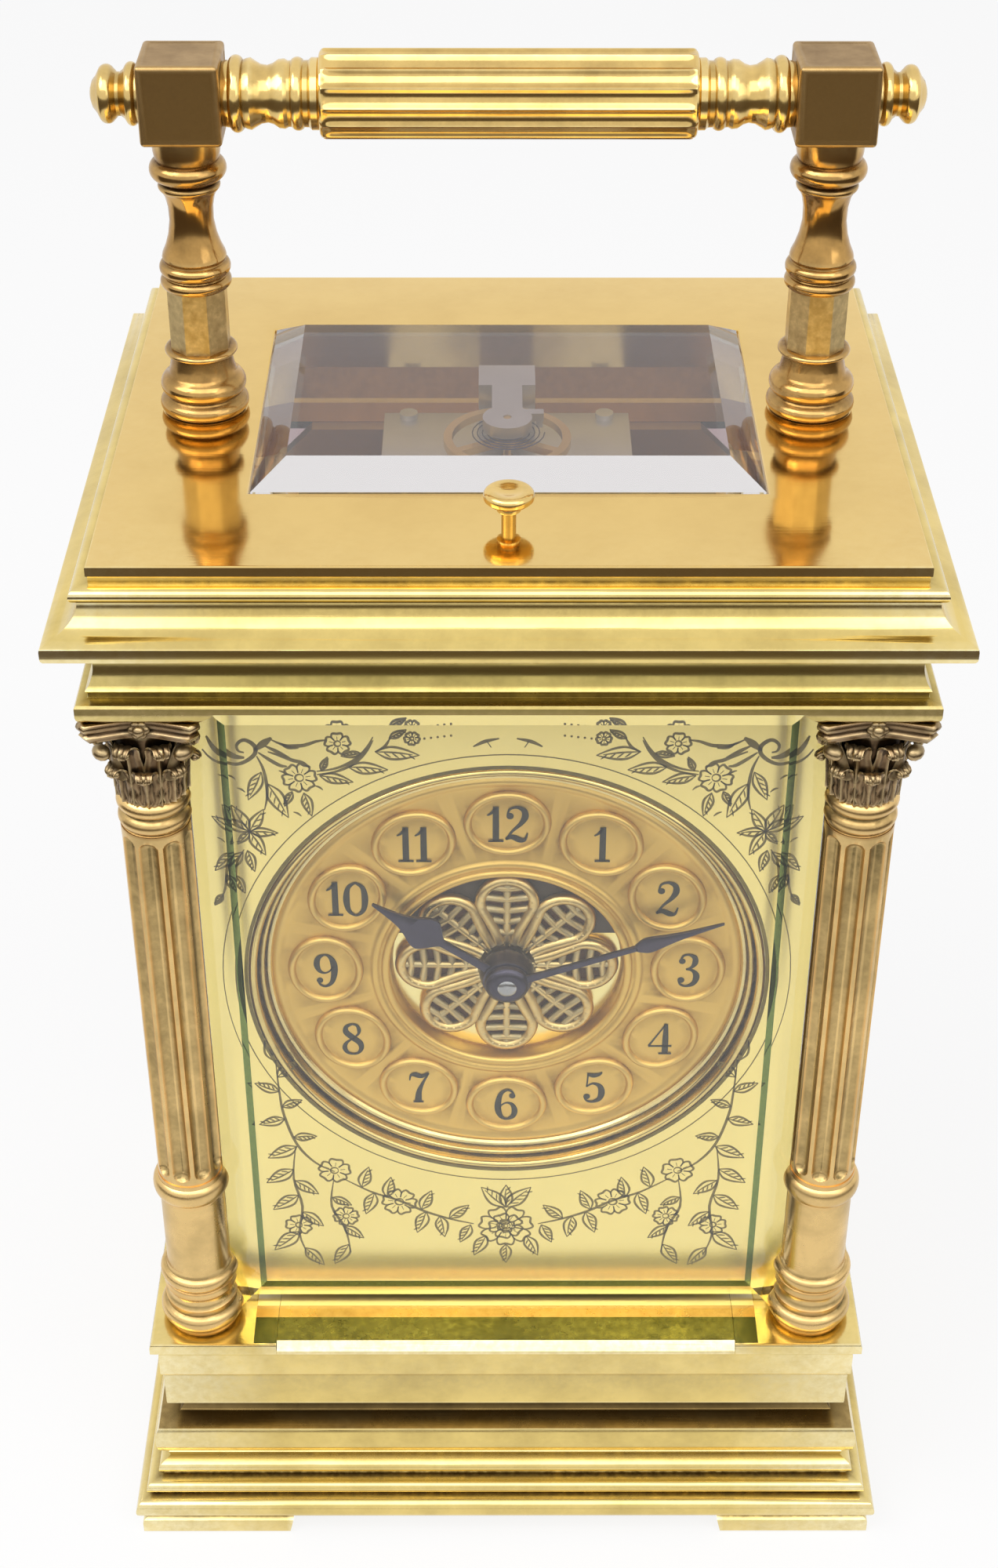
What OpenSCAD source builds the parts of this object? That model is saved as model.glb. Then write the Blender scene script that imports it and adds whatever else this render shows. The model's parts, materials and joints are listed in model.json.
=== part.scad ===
// Carriage clock with a repeat button, in a brass case with four fluted columns.
// The origin is on the ground under the middle of the case, +Z is up and the dial faces -Y.

/* [Case plan] */
// Distance from the middle of the clock to a column axis, left to right
col_x = 40; // [38:0.5:46]
// Distance from the middle of the clock to a column axis, front to back
col_y = 32.4; // [32:0.2:38]

/* [Base] */
// Height of the corner bracket feet
foot_h = 3.4; // [2.5:0.1:6]
// Length of each bracket foot along the base
foot_len = 20.2; // [14:0.1:26]
// Reach of the bracket feet outside the column axes
foot_over = 9.7; // [9:0.1:11]
// Radius of the round moulding at the bottom of the base
toe_r = 1.6; // [1.2:0.1:2]
// Radius of the two small beads above it
base_bead_r = 1.1; // [0.8:0.05:1.4]
// Height of the hollow neck between the beads and the swelling
base_neck_h = 1.9; // [1.2:0.1:3]
// Height of the swelling in the middle of the base
swell_h = 5; // [4:0.1:7]
// Height of the hollow above the swelling
hollow_h = 2.9; // [2:0.1:5]
// Height of the plain band
band_h = 4.8; // [3:0.1:8]
// Height of the square fillet over the band
fillet_h = 1.6; // [1:0.1:3]
// Height of the last hollow under the slab
cavetto_h = 5; // [3:0.1:8]
// Thickness of the wall of the base, inward from the column axes
base_wall = 3.4; // [3:0.1:6]
// Thickness of the slab that the columns stand on
slab_t = 2; // [1.6:0.1:4]
// Reach of the slab outside the column axes
slab_over = 6.6; // [6:0.1:8]
// Depth of the bevel along the front and back of the slab
sill_bevel = 1.5; // [0.8:0.1:1.6]

/* [Columns] */
// Radius of the lower ring of a column foot
foot_ring_r = 5.4; // [5:0.1:5.6]
// Height of the lower ring of a column foot
foot_ring_h = 3.6; // [2.5:0.1:5]
// Height of the hollow between the two rings
scotia_h = 3.6; // [2.5:0.1:6]
// Radius of the upper ring of a column foot
upper_ring_r = 5; // [4.6:0.1:5.4]
// Height of the upper ring of a column foot
upper_ring_h = 3.1; // [2:0.1:4]
// Height of the plain drum above the rings
drum_h = 12; // [8:0.5:20]
// Height of the collar between drum and shaft
collar_h = 4; // [3:0.1:6]
// Radius of the collar
collar_r = 4.8; // [4.4:0.1:5.2]
// Radius of drum and shaft
shaft_r = 4; // [3.6:0.05:4.2]
// Length of the fluted shaft
shaft_l = 54.4; // [40:0.1:70]
// Number of flutes round a shaft
flutes = 9; // [8:1:10]
// Radius of a flute's hollow
flute_r = 1.25; // [0.9:0.05:1.3]
// Depth of a flute
flute_d = 0.55; // [0.3:0.05:0.6]
// Height of the two rings under a capital, together
neck_h = 4.4; // [3:0.1:6]
// Height of a capital
capital_h = 12.6; // [11:0.1:15]
// Thickness of the square top of a capital
abacus_t = 2.4; // [1.8:0.1:3]
// Reach of a volute from the column axis, measured along the diagonal
volute_d = 8.3; // [7.6:0.1:8.6]
// Radius of the long screws through the columns
rod_r = 1.1; // [0.8:0.05:1.3]

/* [Entablature and cornice] */
// Height of the flat fascia over the capitals
fascia_h = 2.2; // [1.6:0.1:4]
// Reach of the fascia outside the column axes
fascia_over = 6.55; // [6:0.05:7]
// Height of the hollow frieze
frieze_h = 6.1; // [4:0.1:10]
// Depth of the cut along the lower edge of the fascia, between the columns
fascia_cut = 1.4; // [0.8:0.1:1.6]
// Reach of the cornice lip outside the column axes
lip_over = 9; // [8.4:0.1:10]
// Height of the cornice lip
lip_h = 2.2; // [1.6:0.1:4]
// Height of the hollow above the lip
cove_h = 3; // [2:0.1:5]
// Radius of the bead under the top plate
bead_r = 0.85; // [0.6:0.05:1]
// Depth of the shadow gap under the top plate
gap_h = 0.6; // [0.5:0.05:1.5]
// Reach of the top plate outside the column axes
plate_over = 4.2; // [3.8:0.1:4.6]
// Thickness of the top plate
plate_t = 1.4; // [1:0.1:2.5]

/* [Glass] */
// Thickness of the glass panes
glass_t = 3; // [2:0.1:3.4]
// Width of the bevel on the case glasses
bevel_w = 4.1; // [2.5:0.1:6]
// Thickness that the bevel leaves at a pane's edge
edge_t = 1.4; // [1:0.1:1.8]
// Depth of the grooves that hold the panes
groove_d = 1; // [0.6:0.1:1.4]
// Clearance round a pane in its groove
glass_play = 0.1; // [0.05:0.05:0.2]
// Half width of the opening in the top plate
lid_x = 28.3; // [26:0.1:30]
// Half depth of the opening in the top plate
lid_y = 20.7; // [19:0.1:22]
// Height of the top pane above the top plate
lid_rise = 2.5; // [1.5:0.1:3.5]
// Width of the bevel round the top pane
lid_bevel = 3.8; // [2.5:0.1:5]
// Thickness of the top pane under the top plate
lid_seat = 2; // [1.5:0.1:3]
// Reach of the top pane under the top plate
lid_lap = 2.2; // [1.5:0.1:2.4]

/* [Handle] */
// Distance from the middle of the clock to a handle post
post_x = 35; // [34.5:0.1:36]
// Length of the turned foot of a post, from the plate to the eight-sided part
post_foot_h = 7.9; // [7:0.1:10]
// Length of the eight-sided part of a post
post_oct_h = 7.2; // [5:0.1:12]
// Length of the turned head of a post, up to the block
post_head_h = 17.6; // [14:0.1:22]
// Largest radius of a post, at its foot
post_r = 5.15; // [4.8:0.05:5.4]
// Radius of the stud and the tenon at the ends of a post
stud_r = 1.9; // [1.4:0.1:2]
// Side of the cubic blocks on the posts
block = 8.8; // [8:0.1:10]
// Width of the small bevel on the edges of a block
block_ease = 0.5; // [0.3:0.1:0.8]
// Radius of the fluted grip
grip_r = 4.75; // [4.2:0.05:5]
// Length of the fluted grip
grip_l = 40.4; // [34:0.2:44]
// Number of flutes round the grip
grip_flutes = 14; // [10:1:16]
// Radius of the screws that hold grip, collars and blocks together
grip_rod_r = 1.4; // [1:0.1:1.6]
// Length of the turned knob at each end of the handle
finial_l = 5.4; // [4:0.1:7]

/* [Dial and hands] */
// Height of the dial's middle over the slab, as a share of the movement's height
dial_share = 0.53105; // [0.525:0.00005:0.54]
// Half width of the engraved mask round the dial
mask_x = 35.6; // [35:0.1:36]
// Thickness of the mask
mask_t = 0.8; // [0.5:0.1:1.2]
// Radius of the round hole in the mask
mask_r = 31.2; // [31:0.1:32]
// Width of the bezel between the numeral ring and the mask
bezel_w = 2.7; // [2.4:0.1:3]
// Radius of the deep centre of the dial
centre_r = 14.2; // [13:0.1:15]
// Depth of the centre below the numeral ring
centre_d = 2; // [1:0.1:2.4]
// Length of an hour plaque along the ring
plaque_w = 10.4; // [9:0.1:11]
// Width of an hour plaque across the ring
plaque_h = 9.5; // [8:0.1:10]
// Number of petals of the openwork rosette
petals = 8; // [6:1:10]
// Length of the minute hand
minute_l = 27.5; // [20:0.5:28]
// Length of the hour hand
hour_l = 19.8; // [12:0.2:24]
// Where the minute hand points, in degrees clockwise from twelve
minute_deg = 70; // [0:1:359]
// Where the hour hand points, in degrees clockwise from twelve
hour_deg = 305.8; // [0:0.1:359.9]

/* [Rear door] */
// Half width of the door
door_x = 34.2; // [33.8:0.1:34.3]
// Width of the door's frame
door_rail = 4.2; // [3.5:0.1:6]
// Thickness of the door's frame
door_t = 3; // [2.4:0.1:3.4]
// Thickness of the glass in the door
door_glass_t = 1.6; // [1.2:0.1:2]
// Gap under and over the door
door_gap = 0.3; // [0.2:0.05:0.6]
// Radius of the hinge pins
hinge_r = 0.7; // [0.5:0.05:0.9]
// Radius of the door's knob
knob_r = 1.9; // [1.4:0.1:2.4]

/* [Repeat button] */
// Distance from the middle of the clock forward to the button
button_y = 27.6; // [27.2:0.1:27.8]
// Radius of the button's head
button_r = 2.75; // [2.2:0.05:3.2]
// Radius of the button's stem
stem_r = 0.8; // [0.6:0.05:0.9]
// Distance that the button goes down
button_travel = 1.5; // [1:0.1:1.6]
// Height of the button's top above the top plate
button_h = 4.2; // [4:0.1:5]
// Radius of the repeat spring, to the middle of its wire
spring_r = 1.5; // [1.3:0.05:1.6]
// Diameter of the spring's wire
spring_wire = 0.4; // [0.3:0.05:0.5]
// Turns of the repeat spring
spring_turns = 5; // [4:0.5:7]

/* [Movement] */
// Half width of the movement's plates
plate_x = 32; // [30:0.5:34]
// Thickness of the movement's plates
frame_t = 2; // [1.5:0.1:3]
// Place of the outer face of the front plate, forward of the middle
frame_front = 18.5; // [18:0.1:19]
// Distance between the plates
frame_gap = 30.5; // [30:0.1:32]
// Radius of the pillars between the plates
pillar_r = 2.2; // [1.8:0.1:2.6]
// Module of the going train's wheels: pitch diameter over number of teeth
train_m = 0.45; // [0.44:0.002:0.452]
// Teeth of the going barrel and of the centre wheel
great_n = 80; // [78:1:80]
// Teeth of the third wheel
third_n = 75; // [74:1:75]
// Leaves of the pinions in the going train
leaf_n = 10; // [10:1:10]
// Radius of the barrel drums
drum_r = 15.5; // [14:0.1:15.6]
// Running clearance of shafts and pins in their holes
run = 0.05; // [0.02:0.01:0.08]

/* [Platform] */
// Thickness of the platform
platform_t = 1.5; // [1:0.1:2]
// Half width of the platform
platform_x = 15; // [13:0.5:18]
// Radius of the balance
balance_r = 7.5; // [6:0.1:8]
// Radius of the escape wheel
escape_r = 3.1; // [2.6:0.1:3.3]
// Turns of the balance spring
hair_turns = 6; // [4:0.5:8]

/* [Gong and hammer] */
// Radius of the gong's inner turn
gong_r = 18; // [17.6:0.1:18.4]
// Step from one turn of the gong to the next
gong_step = 2; // [1.8:0.1:2.2]
// Turns of the gong
gong_turns = 2.5; // [1.5:0.5:2.5]
// Diameter of the gong's wire
gong_wire = 1.3; // [1:0.1:1.4]
// Gap between hammer and gong at rest
hammer_gap = 0.6; // [0.4:0.1:1]

/* [Hidden] */
$fn = 48;
eps = 0.01;
cut = 0.2;

// Levels of the case, from the ground up
base_h = foot_h + 2 * toe_r + 4 * base_bead_r + base_neck_h + swell_h + hollow_h
         + band_h + fillet_h + cavetto_h;
z_slab = base_h + slab_t;
foot_total = foot_ring_h + scotia_h + upper_ring_h + drum_h + collar_h;
z_shaft = z_slab + foot_total;
z_capital = z_shaft + shaft_l + neck_h;
z_ent = z_capital + capital_h;
z_cornice = z_ent + fascia_h + 0.95 + frieze_h;
z_bead = z_cornice + lip_h + cove_h + 0.25;
z_plate = z_bead + 2 * bead_r + gap_h;
z_top = z_plate + plate_t;
// Levels of the handle
z_block = z_top + post_foot_h + post_oct_h + post_head_h;
z_grip = z_block + block / 2;
// Rebate that the top pane lies in
z_rebate = z_plate - lid_seat;

// Planes of the glass: a pane's middle lies on the column axes
pane_half_x = col_x - shaft_r - glass_play;
pane_half_y = col_y - shaft_r - glass_play;
// Planes of the dial, as distances forward of the middle
mask_front = col_y - shaft_r;
mask_back = mask_front - mask_t;
ring_front = mask_front - 2;
ring_t = 1;
frame_back = frame_gap + frame_t - frame_front + frame_t;
y_front_in = -frame_front + frame_t;
y_back_in = frame_back - frame_t;
z_frame = z_cornice - 4.7;
// Numeral ring, the circle of its hour plaques and that of its feet
dial_z = z_slab + dial_share * (z_frame - z_slab);
ring_r = mask_r - bezel_w;
plaque_r = (ring_r + centre_r) / 2 + 0.65;
dial_feet_r = ring_r - 4.5;
// Places of the arbors, as [x, z]
p_centre = [0, dial_z];
great_d = (great_n + leaf_n) * train_m / 2;
third_d = (third_n + leaf_n) * train_m / 2;
a_great = 230;
p_going = p_centre + great_d * [cos(a_great), sin(a_great)];
// The contrate wheel hangs under the platform, as far as the third wheel reaches
crown_drop = 10.45;
p_contrate = [0, min(z_frame - crown_drop, dial_z + great_d + third_d - 0.4)];
third_up = p_contrate[1] - dial_z;
third_in = (third_up * third_up + great_d * great_d - third_d * third_d) / (2 * third_up);
p_third = [-sqrt(great_d * great_d - third_in * third_in), dial_z + third_in];
p_strike = [17, p_going[1] - 14];
pillar_x = plate_x - 4;
pillars = [for (sx = [-1, 1], z = [z_slab + 4.2, z_frame - 12]) [sx * pillar_x, z]];
// Motion work: 12 into 36 and 10 into 40 turn the hour hand at one twelfth
motion_a = -45;
motion_d = 12;
p_motion = p_centre + motion_d * [cos(motion_a), sin(motion_a)];
cannon_n = 12;
minute_n = 36;
motion_leaf_n = 10;
hour_n = 40;
// Hands, from the front of the dial outwards
hand_t = 0.5;
y_hour = -ring_front - 1.5;
y_minute = y_hour - 2 * hand_t;
// Radii of the arbors and pipes at the dial's centre
arbor_r = 0.8;
pivot_r = 0.5;
cannon_r = 1.4;
hour_pipe_r = 2.2;
// Escape pinion and crown teeth
crown_n = 60;
escape_leaf_n = 6;
crown_r = 9.2;
crown_w = 1;
crown_face = -4.2;
crown_pitch = -3.6;
crown_mid = crown_r - crown_w / 2;
escape_pitch_r = crown_mid * escape_leaf_n / crown_n;
y_escape = crown_pitch + escape_pitch_r;
y_balance = y_escape + escape_r + 1.1;
z_platform = z_frame + platform_t;
z_escape = z_platform + 1;
z_balance = z_platform + 3.2;
z_cock = z_balance + 2;
// Drums of both barrels, and their pivots
barrel_front = -7.5;
barrel_back = 8.7;
barrel_pivot_r = 1.2;
strike_n = 76;
// Gong and hammer, as [x, z]
p_gong = [0, dial_z - 8.5];
gong_out = gong_r + gong_step * gong_turns;
y_gong = frame_back + 4.5;
p_hammer = [27, dial_z + 19.5];
hammer_head_r = 1.8;
hammer_at = gong_out + gong_wire / 2 + hammer_gap + hammer_head_r;
// The tip of the hammer lies level with this angle round the gong
hammer_a = 20;
p_head = p_gong + hammer_at * [cos(hammer_a), sin(hammer_a)];
// Hinge of the rear door
hinge_x = -door_x + 1.6;
hinge_y = col_y + door_t / 2 + 0.7;
z_door = z_slab + door_gap;
// Lengths of the hinge pins, in the case and in the door
pin_seat = 1.6;
pin_reach = 2.9;
p_knob = [door_x - 1.7, dial_z - 5];
knob_shank_r = 0.8;
door_h = z_ent - z_slab - 2 * door_gap;
// Repeat lever
lever_y = -button_y + 5.1;
lever_z = z_frame - 2.7;
stem_end = z_frame - 1;
spring_floor = z_cornice + 1.3;
spring_top = z_plate - 1.05;

// Middle lines of the wound wires: 8 points a curl, 24 points a loop
spring_z0 = spring_floor + spring_wire / 2 + glass_play;
spring_z1 = spring_top - spring_wire / 2 - glass_play;
spring_n = spring_turns * 8;
spring_path = [for (i = [0:spring_n])
  let (z = spring_z0 + (spring_z1 - spring_z0) * i / spring_n)
  [spring_r * cos(i * 45), spring_r * sin(i * 45) - button_y, z]];
gong_path = [for (i = [0:gong_turns * 24])
  let (r = gong_r + gong_step * i / 24, a = 90 + i * 15)
  [p_gong[0] + r * cos(a), y_gong, p_gong[1] + r * sin(a)]];
hair_wire = 0.16;
hair_n = hair_turns * 24;
hair_path = [for (i = [0:hair_n])
  let (r = 0.9 + 3.5 * i / hair_n)
  [r * cos(i * 15), y_balance + r * sin(i * 15), z_balance + 1.4]];

// Least gap of a wound wire to itself, between points that lie apart along it
function least_gap(path, d, apart) =
  min([for (i = [0:len(path) - 1 - apart]) for (j = [i + apart:len(path) - 1]) norm(path[i] - path[j])]) - d;
echo("Least gap of each wound wire to itself, in mm: spring, gong, balance spring",
     least_gap(spring_path, spring_wire, 4), least_gap(gong_path, gong_wire, 12),
     least_gap(hair_path, hair_wire, 12));

brass = "#d9b45a";
pale_brass = "#e3cf8a";
bronze = "#5a4b41";
gilt = "#f0e28f";
steel = "#8e9399";
blued = "#3c3a45";
clear_glass = [0.8, 0.9, 0.85, 0.35];

// Points along an elliptical arc
function arc(cx, cy, rx, ry, a0, a1, n = 8) =
  [for (i = [0:n]) [cx + rx * cos(a0 + (a1 - a0) * i / n), cy + ry * sin(a0 + (a1 - a0) * i / n)]];

// Outline of a wheel or pinion; the widths are shares of one tooth's angle
function gear(n, m, wheel = true) =
  let (r = n * m / 2, p = 360 / n)
  let (tip = (wheel ? 0.95 : 0.62) * m, root = (wheel ? 1.15 : 1.35) * m)
  let (w = wheel ? [0.46, 0.42, 0.33, 0.1] : [0.26, 0.32, 0.25, 0.12])
  let (rr = [r - root, r, r + 0.6 * tip, r + tip])
  [for (i = [0:n - 1]) for (s = [0:7])
    let (k = s < 4 ? s : 7 - s, a = (i + (s < 4 ? -1 : 1) * w[k] / 2) * p)
    rr[k] * [cos(a), sin(a)]];

// Bearing of one arbor seen from another, in the plane of the plates
function bearing(a, b) = atan2(b[1] - a[1], b[0] - a[0]);

// A solid drawn in the plane of the dial, from one depth to another
module along_y(y0, y1) {
  translate([0, y1, 0]) rotate([90, 0, 0]) linear_extrude(y1 - y0) children();
}

// A round bar or hole along the depth of the clock
module bar_y(p, r, y0, y1) {
  translate([p[0], y1, p[1]]) rotate([90, 0, 0]) cylinder(r = r, h = y1 - y0);
}

// A rectangular block, centred in plan, between two heights
module slab_box(hx, hy, z0, z1) {
  translate([-hx, -hy, z0]) cube([2 * hx, 2 * hy, z1 - z0]);
}

// A moulding with mitred corners: prof gives the reach outside hx and hy, and the height
module mould(hx, hy, prof) {
  n = len(prof);
  long = 4 * max(hx, hy);
  intersection() {
    rotate([90, 0, 0]) linear_extrude(long, center = true)
      polygon(concat([for (p = prof) [hx + p[0], p[1]]],
                     [for (i = [n - 1:-1:0]) [-hx - prof[i][0], prof[i][1]]]));
    rotate([90, 0, 90]) linear_extrude(long, center = true)
      polygon(concat([for (p = prof) [hy + p[0], p[1]]],
                     [for (i = [n - 1:-1:0]) [-hy - prof[i][0], prof[i][1]]]));
  }
}

// The four column places
module at_columns() {
  for (sx = [-1, 1], sy = [-1, 1]) translate([sx * col_x, sy * col_y, 0]) children();
}

// The channels that the four glasses slide in, cut through all that holds them
module glass_channels(z0, z1) {
  play = glass_play;
  t = glass_t / 2 + play;
  for (s = [-1, 1]) {
    translate([-pane_half_x - play, s * col_y - t, z0])
      cube([2 * (pane_half_x + play), 2 * t, z1 - z0]);
    translate([s * col_x - t, -pane_half_y - play, z0])
      cube([2 * t, 2 * (pane_half_y + play), z1 - z0]);
  }
}

function base_profile() =
  let (z1 = foot_h + 2 * toe_r)
  let (z2 = z1 + 2 * base_bead_r)
  let (z3 = z2 + 2 * base_bead_r)
  let (z4 = z3 + base_neck_h)
  let (z5 = z4 + swell_h)
  let (z6 = z5 + hollow_h)
  let (z7 = z6 + band_h)
  let (z8 = z7 + fillet_h)
  concat([[foot_over, 0], [foot_over, foot_h]],
         arc(slab_over + 2.25, foot_h + toe_r, toe_r, toe_r, -90, 90, 8),
         arc(slab_over + 1.1, z1 + base_bead_r, base_bead_r, base_bead_r, -80, 80, 6),
         arc(slab_over - 0.6, z2 + base_bead_r, base_bead_r, base_bead_r, -80, 80, 6),
         arc(slab_over + 0.1, z4 - 0.8, 0.9, 0.8, 215, 125, 4),
         arc(slab_over - 0.5, z4 + swell_h / 2, 1.05, swell_h / 2, -90, 90, 8),
         arc(slab_over - 0.1, z6, 2, hollow_h, 270, 180, 8),
         [[slab_over - 2.1, z7], [slab_over - 0.75, z7], [slab_over - 0.75, z8]],
         arc(slab_over + 1.6, base_h, 2.55, cavetto_h - 0.2, 258, 188, 6),
         [[slab_over - 0.4, base_h]]);

module base_moulding() {
  arch_x = col_x + foot_over - foot_len;
  arch_y = col_y + foot_over - foot_len;
  in_x = col_x - base_wall;
  in_y = col_y - base_wall;
  color(pale_brass) difference() {
    mould(col_x, col_y, base_profile());
    slab_box(in_x, in_y, -cut, base_h + cut);
    slab_box(arch_x, 2 * col_y, -cut, foot_h);
    slab_box(2 * col_x, arch_y, -cut, foot_h);
    at_columns() {
      cylinder(r = rod_r + run, h = base_h + cut);
      translate([0, 0, -cut]) cylinder(r = 2 * rod_r + run, h = foot_h + cut);
    }
  }
}

module base_slab() {
  bevel_x = col_x - 10;
  edge_y = col_y + slab_over;
  color(brass) difference() {
    mould(col_x + slab_over, col_y + slab_over,
          [[-0.2, base_h], [0, base_h + 0.2], [0, z_slab - 0.25], [-0.25, z_slab]]);
    for (s = [0, 180]) rotate([0, 0, s]) translate([-bevel_x, 0, 0])
      rotate([90, 0, 90]) linear_extrude(2 * bevel_x)
        polygon([[edge_y + cut, z_slab - sill_bevel - cut], [edge_y + cut, z_slab + cut],
                 [edge_y - sill_bevel - cut, z_slab + cut]]);
    glass_channels(z_slab - groove_d, z_slab + cut);
    at_columns() translate([0, 0, base_h - cut]) cylinder(r = rod_r + run, h = slab_t + 2 * cut);
    translate([hinge_x, hinge_y, z_slab - pin_seat]) cylinder(r = hinge_r, h = pin_seat + cut);
  }
}

// Where the two glasses cross a column, and the quarter that faces the inside
module column_cuts(z0, z1, quarter) {
  difference() {
    glass_channels(z0 - cut, z1 + cut);
    if (!quarter) at_columns() translate([0, 0, z0 - 2 * cut]) cylinder(r = shaft_r, h = z1 - z0 + 4 * cut);
  }
  if (quarter) slab_box(col_x - glass_t / 2, col_y - glass_t / 2, z0 - cut, z1 + cut);
}

function foot_profile() =
  let (z1 = foot_ring_h)
  let (z2 = z1 + scotia_h)
  let (z3 = z2 + upper_ring_h)
  let (z4 = z3 + drum_h)
  let (z5 = z4 + collar_h)
  concat([[rod_r + run, 0], [foot_ring_r - 0.9, 0]],
         arc(foot_ring_r - z1 * 0.42, z1 * 0.46, z1 * 0.42, z1 * 0.46, -80, 80, 8),
         [[foot_ring_r - 0.7, z1], [foot_ring_r - 0.7, z1 + 0.3]],
         arc(upper_ring_r - 0.1, z1 + scotia_h / 2, 0.8, scotia_h / 2 - 0.5, 250, 110, 6),
         [[upper_ring_r - 0.3, z2 - 0.3], [upper_ring_r - 0.3, z2]],
         arc(upper_ring_r - upper_ring_h * 0.4, z2 + upper_ring_h / 2, upper_ring_h * 0.4, upper_ring_h * 0.46,
             -85, 85, 8),
         [[shaft_r + 0.05, z3], [shaft_r + 0.05, z4]],
         arc(collar_r - collar_h * 0.3, z4 + collar_h / 2, collar_h * 0.3, collar_h * 0.46, -85, 85, 8),
         [[shaft_r + 0.1, z5], [rod_r + run, z5]]);

module column_foot(sx, sy) {
  color(brass) difference() {
    translate([sx * col_x, sy * col_y, z_slab]) rotate_extrude() polygon(foot_profile());
    column_cuts(z_slab, z_shaft, false);
  }
}

module column_shaft(sx, sy) {
  z1 = shaft_l;
  color(brass) difference() {
    translate([sx * col_x, sy * col_y, z_shaft]) difference() {
      rotate_extrude() polygon(concat(
        [[rod_r + run, 0], [shaft_r, 0], [shaft_r, z1]],
        arc(shaft_r - 0.55, z1 + neck_h * 0.27, 0.8, neck_h * 0.24, -60, 80, 6),
        arc(shaft_r - 0.55, z1 + neck_h * 0.76, 0.85, neck_h * 0.24, -80, 80, 6),
        [[shaft_r - 0.5, z1 + neck_h], [rod_r + run, z1 + neck_h]]));
      // Flutes with arched ends
      for (i = [0:flutes - 1]) rotate([0, 0, i * 360 / flutes - sx * sy * 18])
        translate([shaft_r + flute_r - flute_d, 0, 0]) rotate_extrude($fn = 32) polygon(concat(
          [[0, 0.7]], arc(0, 0.7 + flute_r, flute_r, flute_r, -65, 0, 4),
          arc(0, z1 - 0.8 - flute_r, flute_r, flute_r, 0, 65, 4), [[0, z1 - 0.8]]));
    }
    column_cuts(z_shaft + z1, z_capital, false);
  }
}

// One leaf of a capital: a ridge up the bell that curls out at its tip
module leaf(h, root, tip, wide) {
  rotate([0, 0, -wide / 2]) rotate_extrude(angle = wide)
    polygon(concat([[shaft_r - 1, 0], [root, 0], [shaft_r + 0.35, h * 0.5]],
                   arc(tip - 0.75, h - 0.75, 0.75, 0.75, -75, 90, 6),
                   [[shaft_r - 1, h - 0.2]]));
}

module capital(sx, sy) {
  bell_h = capital_h - abacus_t;
  half = volute_d * 0.72;
  color(bronze) difference() {
    translate([sx * col_x, sy * col_y, z_capital]) union() {
      rotate_extrude() polygon([[rod_r + run, 0], [shaft_r - 0.15, 0], [shaft_r + 0.1, bell_h * 0.55],
                                [shaft_r + 0.9, bell_h], [rod_r + run, bell_h]]);
      for (i = [0:7]) rotate([0, 0, i * 45]) leaf(4.6, shaft_r + 0.15, shaft_r + 1.1, 30);
      for (i = [0:7]) rotate([0, 0, i * 45 + 22.5]) leaf(7.8, shaft_r - 0.5, shaft_r + 1.7, 26);
      // Volutes under the corners
      for (i = [0:3]) rotate([0, 0, 45 + i * 90]) {
        translate([volute_d - 1.45, 0.8, bell_h - 1.2]) rotate([90, 0, 0]) cylinder(r = 1.5, h = 1.6);
        translate([shaft_r - 1, -0.55, bell_h - 1.8]) cube([volute_d - shaft_r - 0.4, 1.1, 2]);
      }
      // Square top with hollow sides and cut corners
      difference() {
        translate([-half, -half, bell_h]) cube([2 * half, 2 * half, abacus_t]);
        for (i = [0:3]) rotate([0, 0, i * 90]) translate([half + 10.6, 0, bell_h - cut])
          cylinder(r = 11.6, h = abacus_t + 2 * cut);
        for (i = [0:3]) rotate([0, 0, 45 + i * 90]) translate([volute_d, -3, bell_h - cut])
          cube([4, 6, abacus_t + 2 * cut]);
        translate([0, 0, bell_h - cut]) cylinder(r = rod_r + run, h = abacus_t + 2 * cut);
      }
      // Flower in the middle of each side
      for (i = [0:3]) rotate([0, 0, i * 90]) translate([half - 1.4, 0, bell_h + abacus_t / 2])
        rotate([0, 90, 0]) cylinder(r = 1, h = 1.3);
    }
    column_cuts(z_capital, z_ent, true);
  }
}

module case_screws() {
  color(steel) at_columns() {
    translate([0, 0, 1.2]) cylinder(r = 2 * rod_r, h = foot_h - 1.2);
    translate([0, 0, foot_h - eps]) cylinder(r = rod_r, h = z_cornice + lip_h + 1.5 - foot_h);
  }
}

function entablature_profile() =
  let (z1 = z_ent + fascia_h)
  let (z2 = z1 + 0.95)
  concat([[fascia_over - 0.75, z_ent]],
         arc(fascia_over - 0.75, z_ent + 0.8, 0.75, 0.8, -70, 0, 4),
         [[fascia_over, z1 - 0.1], [fascia_over - 0.1, z1], [fascia_over - 1.45, z1 + 0.45],
          [fascia_over - 1.45, z2]],
         arc(fascia_over - 1.2, z2 + frieze_h / 2, 0.75, frieze_h / 2, 262, 98, 10),
         [[fascia_over - 1.35, z_cornice]]);

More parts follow.
